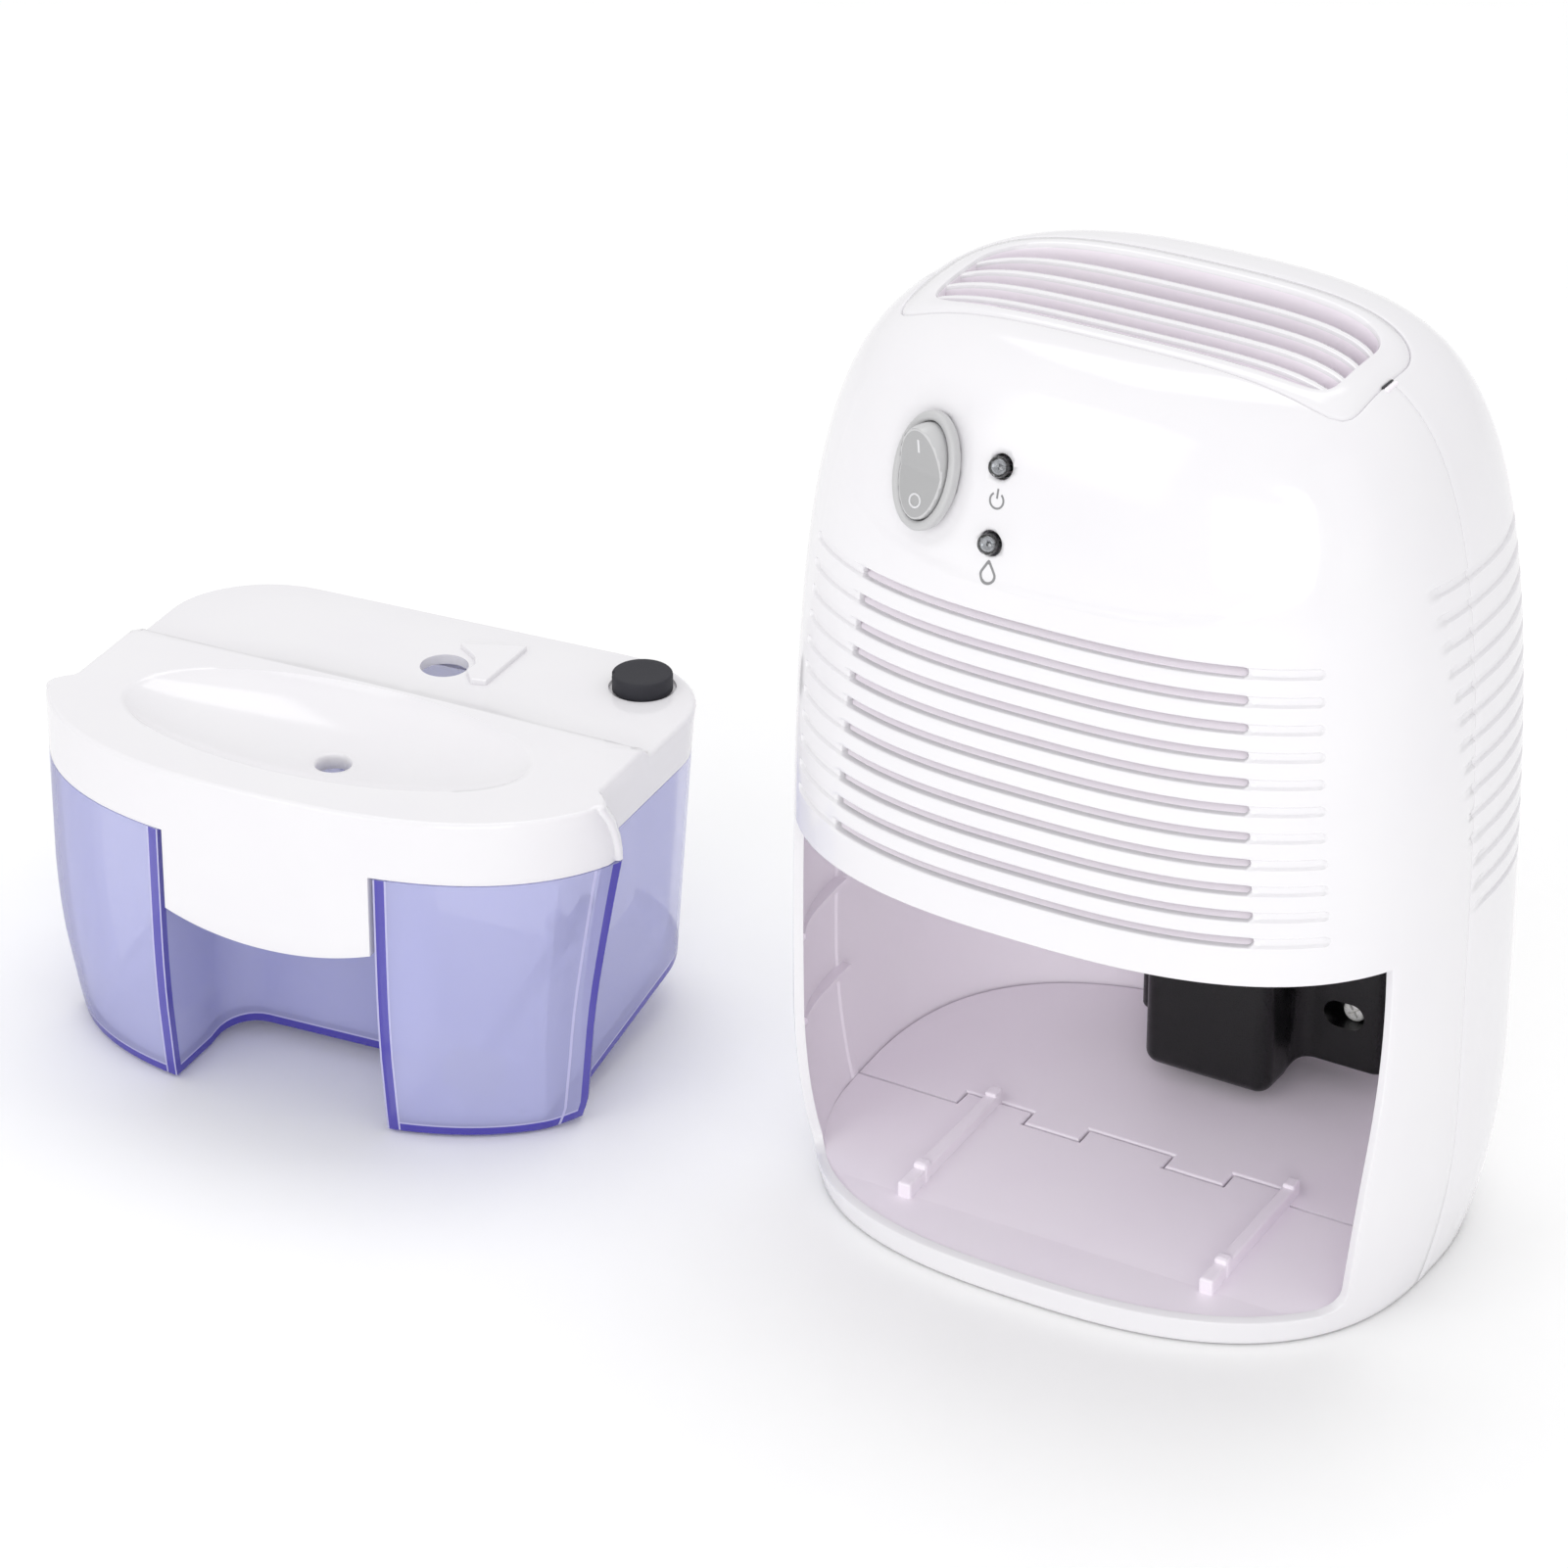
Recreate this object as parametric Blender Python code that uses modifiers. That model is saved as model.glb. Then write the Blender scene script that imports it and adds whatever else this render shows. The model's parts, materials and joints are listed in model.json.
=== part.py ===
"""Small Peltier dehumidifier, with its water tank standing beside the housing.

Metres, +Z up. The origin is the centre of the housing's flat underside, the front faces -Y.
The tank is modelled as it would sit in its bay, and an empty carries it to where it stands.
"""
import math

import bmesh
import bpy
from mathutils import Matrix, Vector

# Housing: a barrel whose sections are superellipses
WIDTH = 0.156
DEPTH = 0.1212
HEIGHT = 0.2157
BELLY_HEIGHT = 0.0467       # the widest level
SECTION_POWER = 2.594
SIDE_PROFILE = (0.91, 3.97, 5.798)       # base share, shoulder powers, seen from the front
END_PROFILE = (0.935, 2.297, 5.671)      # the same, seen from the side
WALL = 0.0022
GAP = 0.0003                # between pieces that touch
SEAM_Y = -0.005             # where the front and rear shells meet
SEAM_STEP = 0.0048          # interlocking steps of the seam across the floor
SEAM_STEP_XS = (-0.045, -0.028, -0.0135, 0.0077, 0.0228, 0.036)

# Tank bay
FLOOR_FRONT = 0.006
FLOOR_LEVEL_TO = -0.040     # the floor is level up to here, then rises
FLOOR_SLOPE = 0.09
MOUTH_TOP = 0.0888
MOUTH_HALF_TOP = 0.0726
MOUTH_HALF_LOW = 0.0663
RAIL_X = 0.0376
RAIL_WIDTH = 0.0030
RAIL_TOP = 0.0096
RAIL_FRONT = -0.0416
RAIL_REAR = 0.0003
CEILING = 0.0900
TRAY_THICKNESS = 0.0020
TRAY_GAP = 0.0010           # to the shells, all round

# Louvres: as many as there is room for, from below the controls to above the bay
SLOT_PITCH = 0.0060
SLOT_TOP = HEIGHT - 0.0544
SLOT_HEIGHT = 0.0024
SLOT_MARGIN = 0.0095        # from the mouth up to the lowest slot, at least
SLOT_COUNT = int((SLOT_TOP - MOUTH_TOP - SLOT_MARGIN) / SLOT_PITCH) + 1
SLOT_HALF_TOP = 0.0456
SLOT_HALF_LOW = 0.0506
REAR_SLOT_TOP = HEIGHT - 0.0437
REAR_SLOT_MARGIN = 0.0010
REAR_SLOT_COUNT = int((REAR_SLOT_TOP - CEILING - REAR_SLOT_MARGIN) / SLOT_PITCH) + 1
REAR_SLOT_HALF = 0.0440

# Top grille: straight front edge, arched rear edge
GRILLE_HALF = 0.0530
GRILLE_FRONT = 0.0253
GRILLE_REAR = 0.0208
GRILLE_RIM_END = 0.0067
GRILLE_RIM = 0.0042
GRILLE_THICKNESS = 0.0032
SLAT_SHARES = (0.118, 0.321, 0.543, 0.778)     # places of the slats, from front to rear
SLAT_WIDTH = 0.0014
SLAT_DROP = 0.0080

# Control panel
SWITCH_X = -0.0312
SWITCH_Z = HEIGHT - 0.0281
SWITCH_HALF_WIDTH = 0.0102
SWITCH_HALF_HEIGHT = 0.0127
SWITCH_RIM = 0.0024
SWITCH_PROUD = 0.0016
SWITCH_DEPTH = 0.0150
ROCKER_GAP = 0.0004
ROCKER_ANGLE = math.radians(11)
LED_X = -0.0128
LED_ZS = {"led_power": HEIGHT - 0.0228, "led_full": HEIGHT - 0.0385}
LED_RADIUS = 0.0025
LED_REACH = 0.0090
BOARD_Y = -0.0330
BOARD_THICKNESS = 0.0016

# Cooling core
CORE_HALF = 0.0400
CORE_LIFT = 0.0030
CORE_Z = CEILING + CORE_LIFT + CORE_HALF
FRAME_FRONT = -0.0222
FRAME_THICKNESS = 0.0040
FRAME_HALF = 0.0480
PELTIER_HALF = 0.0200
SINK_BASE = 0.0030
COLD_HALF = 0.0300
COLD_FINS = 9
COLD_FIN_LENGTH = 0.0150
HOT_FINS = 15
HOT_FIN_LENGTH = 0.0200
FIN_THICKNESS = 0.0012
FIN_PITCH = 0.0055
FAN_HALF = 0.0400
FAN_THICKNESS = 0.0150
FAN_BORE = 0.0380
FAN_HUB = 0.0150
FAN_BLADES = 7
FAN_HOLE = 0.03575
SCREW_RADIUS = 0.0015
HEAD_RADIUS = 0.0028
HEAD_HEIGHT = 0.0018

# Base
PLATE_THICKNESS = 0.0024
FOOT_RADIUS = 0.0070
FOOT_THICKNESS = 0.0015
FOOT_PLACE = (0.052, 0.025)
BASE_SCREW_PLACE = (0.025, 0.030)
SHELL_SCREW_PLACE = (0.050, HEIGHT - 0.0277)
BOSS_RADIUS = 0.0040

# Black cover at the rear of the bay
COVER_X = (-0.0120, 0.0182)
COVER_EARS_X = (-0.0218, 0.0400)
COVER_FRONT = 0.0240
COVER_EARS_FRONT = 0.0375
COVER_BACK = 0.0475
COVER_Z = (0.0170, 0.0580)
COVER_EARS_Z = (0.0200, 0.0500)
COVER_WALL = 0.0016
COVER_SCREW = (0.0315, 0.0335)
INLET_PLACE = (0.0020, 0.0380)
INLET_RADIUS = 0.0045

# Tank, in the housing's axes with its underside at zero
TANK_PLACE = (-0.1901, -0.01705)
TANK_TURN = math.radians(6.26)
TANK_RAISE = 0.0062         # how far above the ground the tank stands in the bay
TANK_GAP = 0.0006           # to the sides and the top of the bay's mouth
TANK_REAR = 0.0420
TANK_STEP = 0.0043          # from the front wings to the body behind them
TANK_SIDE_SLOPE = 0.077
TANK_WALL = 0.0020
TANK_HEIGHT = MOUTH_TOP - TANK_GAP - TANK_RAISE + 0.0002
TANK_BEND_Y = -0.040        # the underside rises behind here
TANK_BEND_SLOPE = 0.18
LID_SKIRT = 0.0152
LID_DECK_DROP = 0.0029
LID_DECK_FRONT = -0.0017
LID_WALL = 0.0024
LID_PLUG_DEPTH = 0.0040
TONGUE_BOTTOM = 0.0470
TONGUE_HALF = 0.0263
RECESS_HALF = 0.0275
RECESS_REAR = -0.0285
ALCOVE_X = (-0.0240, 0.0422)
ALCOVE_FRONT = 0.0218
ALCOVE_TOP = 0.0535
BASIN_HALF = (0.0520, 0.0200)
BASIN_Y = -0.0262
BASIN_DEPTH = 0.0085
DRIP_RADIUS = 0.0040
VENT_PLACE = (0.0050, 0.0185)
VENT_RADIUS = 0.0057
PLUG_PLACE = (0.0513, 0.0285)
PLUG_RADIUS = 0.0071
PLUG_PROUD = 0.0043
FLOAT_PIVOT = (0.0425, 0.0070, 0.0240)
FLOAT_PLACE = (0.0425, -0.0415, 0.0118)
FLOAT_HALF = (0.0060, 0.0042, 0.0036)
FLOAT_PIN_RADIUS = 0.0010

ROUND = 36                  # points round the barrel
FINE = 20                   # points round the larger turned pieces
COARSE = 12                 # points round the small ones

for leftover in list(bpy.data.objects):
    bpy.data.objects.remove(leftover, do_unlink=True)

PARTS = bpy.data.collections.new("dehumidifier")
TOOLS = bpy.data.collections.new("cutters")
bpy.context.scene.collection.children.link(PARTS)
bpy.context.scene.collection.children.link(TOOLS)


# ---------------------------------------------------------------- materials

def finish(name, colour, roughness, metallic=0.0, alpha=1.0):
    made = bpy.data.materials.new(name)
    made.use_nodes = True
    shader = made.node_tree.nodes["Principled BSDF"]
    shader.inputs["Base Color"].default_value = (*colour, 1.0)
    shader.inputs["Roughness"].default_value = roughness
    shader.inputs["Metallic"].default_value = metallic
    shader.inputs["Alpha"].default_value = alpha
    return made


WHITE = finish("white_abs", (0.90, 0.89, 0.91), 0.25)
BLACK = finish("black_abs", (0.02, 0.02, 0.02), 0.4)
RUBBER = finish("black_rubber", (0.03, 0.03, 0.035), 0.8)
GREY = finish("grey_plastic", (0.55, 0.55, 0.55), 0.4)
PALE_GREY = finish("pale_grey_plastic", (0.42, 0.42, 0.42), 0.35)
CLEAR = finish("clear_epoxy", (0.75, 0.76, 0.72), 0.1, alpha=0.5)
BLUE = finish("blue_violet_styrene", (0.35, 0.33, 0.75), 0.1, alpha=0.5)
STEEL = finish("zinc_plated_steel", (0.60, 0.60, 0.58), 0.35, 1.0)
ALUMINIUM = finish("aluminium", (0.72, 0.73, 0.74), 0.35, 1.0)
CERAMIC = finish("white_ceramic", (0.85, 0.85, 0.82), 0.5)
BOARD = finish("green_circuit_board", (0.03, 0.20, 0.08), 0.45)
LEAD = finish("lead_sheath", (0.35, 0.02, 0.02), 0.5)
FOAM = finish("grey_foam", (0.12, 0.12, 0.13), 0.9)


# ---------------------------------------------------------------- building blocks

def add(name, mesh, colour=None, parent=None):
    """Link a mesh as a part, or as a hidden cutter when it has no colour."""
    thing = bpy.data.objects.new(name, mesh)
    thing.parent = parent
    if colour:
        PARTS.objects.link(thing)
        mesh.materials.append(colour)
    else:
        TOOLS.objects.link(thing)
        thing.hide_render = True
        thing.display_type = "WIRE"
    return thing


def from_bmesh(name, bm, colour=None, parent=None):
    mesh = bpy.data.meshes.new(name)
    bm.to_mesh(mesh)
    bm.free()
    return add(name, mesh, colour, parent)


def empty(name, matrix, parent=None):
    marker = bpy.data.objects.new(name, None)
    marker.matrix_local = matrix
    marker.parent = parent
    PARTS.objects.link(marker)
    return marker


def box(name, low, high, colour=None, parent=None):
    bm = bmesh.new()
    size = [b - a for a, b in zip(low, high)]
    middle = [(a + b) / 2 for a, b in zip(low, high)]
    bmesh.ops.create_cube(bm, size=1)
    bmesh.ops.scale(bm, vec=size, verts=bm.verts)
    bmesh.ops.translate(bm, vec=middle, verts=bm.verts)
    return from_bmesh(name, bm, colour, parent)


TO_AXIS = {
    "X": Matrix(((0, 0, 1), (1, 0, 0), (0, 1, 0))),
    "Y": Matrix(((1, 0, 0), (0, 0, -1), (0, 1, 0))),
    "Z": Matrix.Identity(3),
}


def cylinder(name, radius, start, end, colour=None, parent=None, points=COARSE, tip=None):
    """A round bar, or a cone when the radius at its end is given."""
    start, end = Vector(start), Vector(end)
    bm = bmesh.new()
    far = radius if tip is None else tip
    bmesh.ops.create_cone(
        bm, cap_ends=True, segments=points, radius1=radius, radius2=far, depth=(end - start).length)
    turn = (end - start).to_track_quat("Z", "Y").to_matrix().to_4x4()
    bmesh.ops.transform(bm, matrix=Matrix.Translation((start + end) / 2) @ turn, verts=bm.verts)
    return from_bmesh(name, bm, colour, parent)


def ball(name, centre, half, colour=None, parent=None, points=FINE):
    bm = bmesh.new()
    bmesh.ops.create_uvsphere(bm, u_segments=points, v_segments=points // 2, radius=1)
    bmesh.ops.scale(bm, vec=half, verts=bm.verts)
    bmesh.ops.translate(bm, vec=centre, verts=bm.verts)
    return from_bmesh(name, bm, colour, parent)


def plate(name, outline, low, high, along="Z", colour=None, parent=None):
    """A flat outline extruded along an axis, from low to high on it."""
    curve = bpy.data.curves.new(name, "CURVE")
    curve.dimensions = "2D"
    curve.fill_mode = "BOTH"
    curve.extrude = (high - low) / 2
    spline = curve.splines.new("POLY")
    spline.points.add(len(outline) - 1)
    for point, (u, v) in zip(spline.points, outline):
        point.co = (u, v, 0, 1)
    spline.use_cyclic_u = True
    guide = bpy.data.objects.new(name + "_outline", curve)
    TOOLS.objects.link(guide)
    bpy.context.view_layer.update()
    mesh = bpy.data.meshes.new_from_object(guide.evaluated_get(bpy.context.evaluated_depsgraph_get()))
    bpy.data.objects.remove(guide, do_unlink=True)
    turn = TO_AXIS[along]
    middle = (low + high) / 2
    offset = Vector([middle if axis == along else 0 for axis in "XYZ"])
    mesh.transform(Matrix.Translation(offset) @ turn.to_4x4())
    bm = bmesh.new()
    bm.from_mesh(mesh)
    bmesh.ops.remove_doubles(bm, verts=bm.verts, dist=1e-6)
    bmesh.ops.dissolve_limit(bm, angle_limit=0.001, verts=bm.verts, edges=bm.edges)
    bmesh.ops.recalc_face_normals(bm, faces=bm.faces)
    bpy.data.meshes.remove(mesh)
    return from_bmesh(name, bm, colour, parent)


def turned(name, profile, colour, place, out, parent=None, points=COARSE):
    """A turned piece: its profile runs from top to bottom, and its +Z points along out."""
    mesh = bpy.data.meshes.new(name)
    mesh.from_pydata([(r, 0, z) for r, z in profile], [(i, i + 1) for i in range(len(profile) - 1)], [])
    thing = add(name, mesh, colour, parent)
    thing.location = place
    thing.rotation_mode = "QUATERNION"
    thing.rotation_quaternion = Vector(out).to_track_quat("Z", "Y")
    screw = thing.modifiers.new("turn", "SCREW")
    screw.steps = points
    screw.render_steps = points
    screw.use_merge_vertices = True
    screw.merge_threshold = 1e-5
    return thing


def tube(name, route, radius, colour):
    """A lead along a smooth curve through its route's points."""
    ends = [2 * Vector(route[0]) - Vector(route[1]), 2 * Vector(route[-1]) - Vector(route[-2])]
    knots = [ends[0]] + [Vector(p) for p in route] + [ends[1]]
    points = []
    for a, b, c, d in zip(knots, knots[1:], knots[2:], knots[3:]):
        for step in range(4):
            t = step / 4
            points.append(0.5 * (2 * b + (c - a) * t + (2 * a - 5 * b + 4 * c - d) * t ** 2
                                 + (3 * b - a - 3 * c + d) * t ** 3))
    points.append(knots[-2])
    curve = bpy.data.curves.new(name, "CURVE")
    curve.dimensions = "3D"
    curve.bevel_depth = radius
    curve.bevel_resolution = 1
    curve.use_fill_caps = True
    curve.materials.append(colour)
    spline = curve.splines.new("POLY")
    spline.points.add(len(points) - 1)
    for point, place in zip(spline.points, points):
        point.co = (*place, 1)
    thing = bpy.data.objects.new(name, curve)
    PARTS.objects.link(thing)
    return thing


def change(target, tool, operation):
    boolean = target.modifiers.new(tool.name, "BOOLEAN")
    boolean.operation = operation
    boolean.solver = "EXACT"
    boolean.object = tool


def cut(target, *tools):
    for tool in tools:
        change(target, tool, "DIFFERENCE")


def join(target, *tools):
    for tool in tools:
        change(target, tool, "UNION")


def keep(target, *tools):
    for tool in tools:
        change(target, tool, "INTERSECT")


# ---------------------------------------------------------------- the barrel's formula

def swell(z, profile):
    """Share of the greatest half width that the barrel has at a level."""
    base, power, root = profile
    if z < BELLY_HEIGHT:
        return 1 - (1 - base) * ((BELLY_HEIGHT - z) / BELLY_HEIGHT) ** 2
    rise = min((z - BELLY_HEIGHT) / (HEIGHT - BELLY_HEIGHT), 1)
    return (1 - rise ** power) ** (1 / root)


def half_width(z, inset=0.0):
    return WIDTH / 2 * swell(z * HEIGHT / (HEIGHT - inset), SIDE_PROFILE) - inset


def half_depth(z, inset=0.0):
    return DEPTH / 2 * swell(z * HEIGHT / (HEIGHT - inset), END_PROFILE) - inset


def front_y(x, z, inset=0.0):
    """Where the barrel's front surface lies."""
    share = min(abs(x) / half_width(z, inset), 1)
    return -half_depth(z, inset) * (1 - share ** SECTION_POWER) ** (1 / SECTION_POWER)


def signed_power(value, power):
    return math.copysign(abs(value) ** power, value)


def oval(half_x, half_y, power=2.0, points=ROUND, rear_half=None, rear_power=None):
    """Outline of a superellipse, which may have another half depth and power at its rear."""
    outline = []
    for i in range(points):
        angle = 2 * math.pi * (i + 0.5) / points
        at_rear = math.sin(angle) > 0 and rear_half is not None
        use = rear_power if at_rear else power
        deep = rear_half if at_rear else half_y
        outline.append((half_x * signed_power(math.cos(angle), 2 / use),
                        deep * signed_power(math.sin(angle), 2 / use)))
    return outline


def rounded(half_x, half_y, radius, centre=(0, 0), steps=4):
    """Outline of a rectangle with round corners."""
    outline = []
    for corner, (sx, sy) in enumerate(((1, 1), (-1, 1), (-1, -1), (1, -1))):
        for step in range(steps + 1):
            angle = math.pi / 2 * (corner + step / steps)
            outline.append((centre[0] + sx * (half_x - radius) + radius * math.cos(angle),
                            centre[1] + sy * (half_y - radius) + radius * math.sin(angle)))
    return outline


def loft(name, rings, colour=None, parent=None):
    """Closed solid through rings with equal numbers of points, from the lowest up."""
    bm = bmesh.new()
    rows = [[bm.verts.new(point) for point in ring] for ring in rings]
    count = len(rows[0])
    for lower, upper in zip(rows, rows[1:]):
        for i in range(count):
            j = (i + 1) % count
            bm.faces.new((lower[i], lower[j], upper[j], upper[i]))
    bm.faces.new(list(reversed(rows[0])))
    bm.faces.new(rows[-1])
    return from_bmesh(name, bm, colour, parent)


def dome_levels():
    """Levels that follow the shoulder closely, where the barrel closes."""
    power = SIDE_PROFILE[1]
    low = [BELLY_HEIGHT * share for share in (0.0, 0.45, 1.0)]
    angles = [math.radians(a) for a in (3, 10, 22, 36, 50, 63, 74, 82, 87.5)]
    rise = HEIGHT - BELLY_HEIGHT
    return low + [BELLY_HEIGHT + rise * math.sin(a) ** (2 / power) for a in angles]


def barrel(name, inset=0.0, start=None, colour=None):
    """The barrel's solid, inset all round, from its base or from a level start."""
    squeeze = (HEIGHT - inset) / HEIGHT
    levels = [z * squeeze for z in dome_levels()]
    if start is not None:
        levels = [start] + [z for z in levels if z > start + 0.001]
    rings = []
    for z in levels:
        at = max(z, 0)
        ring = oval(half_width(at, inset), half_depth(at, inset), SECTION_POWER)
        rings.append([(x, y, z) for x, y in ring])
    return loft(name, rings, colour)


def floor_z(y):
    return FLOOR_FRONT + FLOOR_SLOPE * max(y - FLOOR_LEVEL_TO, 0)


def below_floor(name, drop=0.0):
    """Everything under the bay's floor, or under a level a little lower."""
    far = DEPTH
    outline = [(-far, -0.02), (far, -0.02), (far, floor_z(far) - drop),
               (FLOOR_LEVEL_TO, FLOOR_FRONT - drop), (-far, FLOOR_FRONT - drop)]
    return plate(name, outline, -WIDTH, WIDTH, "X")


def shell_half(name, side):
    """Everything on one side of the seam: -1 in front of it, +1 behind it."""
    y = SEAM_Y + side * GAP / 2
    edge = [(-WIDTH, y)]
    forward = False
    for x in SEAM_STEP_XS:
        at = x + side * GAP / 2 * (1 if forward else -1)
        edge.append((at, y + SEAM_STEP * forward))
        forward = not forward
        edge.append((at, y + SEAM_STEP * forward))
    edge.append((WIDTH, y))
    far = side * DEPTH
    outline = edge + [(WIDTH, far), (-WIDTH, far)]
    return plate(name, outline, -0.02, HEIGHT + 0.02, "Z")


def slots(name, count, top, half_top, half_low, near, far):
    """A row of round-ended slots, one below the other, joined into one cutter."""
    bm = bmesh.new()
    for i in range(count):
        half = half_top + (half_low - half_top) * i / (count - 1)
        z = top - i * SLOT_PITCH
        outline = rounded(half, SLOT_HEIGHT / 2, SLOT_HEIGHT / 2, (0, z), steps=2)
        one = plate(name + "_one", outline, near, far, "Y")
        bm.from_mesh(one.data)
        bpy.data.objects.remove(one, do_unlink=True)
    return from_bmesh(name, bm)


def surface_frame(x, z):
    """Place and axes on the barrel's front: right, up along the surface, out of it."""
    step = 0.001
    here = Vector((x, front_y(x, z), z))
    across = Vector((2 * step, front_y(x + step, z) - front_y(x - step, z), 0)).normalized()
    upward = Vector((0, front_y(x, z + step) - front_y(x, z - step), 2 * step))
    out = across.cross(upward).normalized()
    up = out.cross(across).normalized()
    matrix = Matrix((across, up, out)).transposed().to_4x4()
    matrix.translation = here
    return matrix


def grille_outline(inset, end_inset=None):
    ends = inset if end_inset is None else end_inset
    return oval(GRILLE_HALF - ends, GRILLE_FRONT - inset, 10, 40, GRILLE_REAR - inset, SECTION_POWER)


# ---------------------------------------------------------------- housing

SWITCH = empty("switch_place", surface_frame(SWITCH_X, SWITCH_Z))
LEDS = {name: surface_frame(LED_X, z) for name, z in LED_ZS.items()}


def housing():
    front = barrel("front_shell", colour=WHITE)
    rear = barrel("rear_shell", colour=WHITE)
    keep(front, shell_half("front_half", -1))
    keep(rear, shell_half("rear_half", 1))

    room = barrel("room", WALL, FLOOR_FRONT - 0.001)
    cut(room, below_floor("floor_block"))
    hollow = barrel("underfloor", WALL, -0.001)
    keep(hollow, below_floor("underfloor_block", WALL))
    seat = plate("grille_seat", grille_outline(-GAP), HEIGHT - 0.030, HEIGHT + 0.010)
    for shell in (front, rear):
        cut(shell, room, hollow, seat)

    mouth = [(-MOUTH_HALF_LOW, FLOOR_FRONT), (MOUTH_HALF_LOW, FLOOR_FRONT),
             (MOUTH_HALF_TOP, MOUTH_TOP), (-MOUTH_HALF_TOP, MOUTH_TOP)]
    cut(front, plate("mouth", mouth, -DEPTH, -0.018, "Y"))
    cut(front, slots("louvres", SLOT_COUNT, SLOT_TOP, SLOT_HALF_TOP, SLOT_HALF_LOW, -DEPTH, -0.030))
    cut(rear, slots("rear_vents", REAR_SLOT_COUNT, REAR_SLOT_TOP, REAR_SLOT_HALF, REAR_SLOT_HALF,
                    0.030, DEPTH))

    for side in (-1, 1):
        x = side * RAIL_X
        rail_outline = [(RAIL_FRONT, FLOOR_FRONT - 0.001), (SEAM_Y - 0.001, FLOOR_FRONT - 0.001),
                        (SEAM_Y - 0.001, RAIL_TOP), (RAIL_FRONT, RAIL_TOP)]
        join(front, plate(f"rail_{side}", rail_outline, x - RAIL_WIDTH / 2, x + RAIL_WIDTH / 2, "X"))

    opening = cylinder("switch_hole", 1, (0, 0, -0.030), (0, 0, 0.010), parent=SWITCH, points=FINE)
    opening.data.transform(Matrix.Diagonal((SWITCH_HALF_WIDTH - 0.0012, SWITCH_HALF_HEIGHT - 0.0012, 1, 1)))
    cut(front, opening)
    for name, matrix in LEDS.items():
        out = matrix.col[2].xyz * 0.010
        here = matrix.translation
        cut(front, cylinder(name + "_hole", LED_RADIUS + GAP, here - out, here + out))

    screw_x, screw_z = SHELL_SCREW_PLACE
    face = front_y(screw_x + BOSS_RADIUS, screw_z + BOSS_RADIUS)
    for side in (-1, 1):
        x = side * screw_x
        join(front, cylinder(f"front_boss_{side}", BOSS_RADIUS, (x, face + WALL / 2, screw_z),
                             (x, SEAM_Y - GAP / 2, screw_z)))
        cut(front, cylinder(f"pilot_{side}", SCREW_RADIUS + GAP, (x, SEAM_Y - 0.011, screw_z),
                            (x, 0, screw_z)))
        join(rear, cylinder(f"rear_boss_{side}", BOSS_RADIUS, (x, SEAM_Y + GAP / 2, screw_z),
                            (x, -face - WALL / 2, screw_z)))
        cut(rear, cylinder(f"bore_{side}", SCREW_RADIUS + GAP, (x, SEAM_Y - 0.005, screw_z),
                           (x, DEPTH, screw_z)))
        cut(rear, cylinder(f"sink_{side}", HEAD_RADIUS + GAP, (x, 0.004, screw_z), (x, DEPTH, screw_z)))
        turned(f"shell_screw_{'left' if side < 0 else 'right'}", screw_profile(0.012), STEEL,
               (x, 0.004 + GAP, screw_z), (0, 1, 0))

    x, z = INLET_PLACE
    cut(rear, cylinder("inlet_hole", INLET_RADIUS + GAP, (x, 0.045, z), (x, DEPTH, z), points=FINE))
    ear_x, ear_z = COVER_SCREW
    post_end = -front_y(ear_x + BOSS_RADIUS, ear_z) - WALL / 2
    join(rear, cylinder("cover_post", BOSS_RADIUS, (ear_x, COVER_BACK + GAP, ear_z), (ear_x, post_end, ear_z)))
    cut(rear, cylinder("cover_pilot", SCREW_RADIUS + GAP, (ear_x, 0.04, ear_z),
                       (ear_x, COVER_BACK + 0.004, ear_z)))
    base(front, rear)


def screw_profile(length):
    return [(0, HEAD_HEIGHT), (HEAD_RADIUS, HEAD_HEIGHT), (HEAD_RADIUS, 0), (SCREW_RADIUS, 0),
            (SCREW_RADIUS, -length), (0, -length)]


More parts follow.
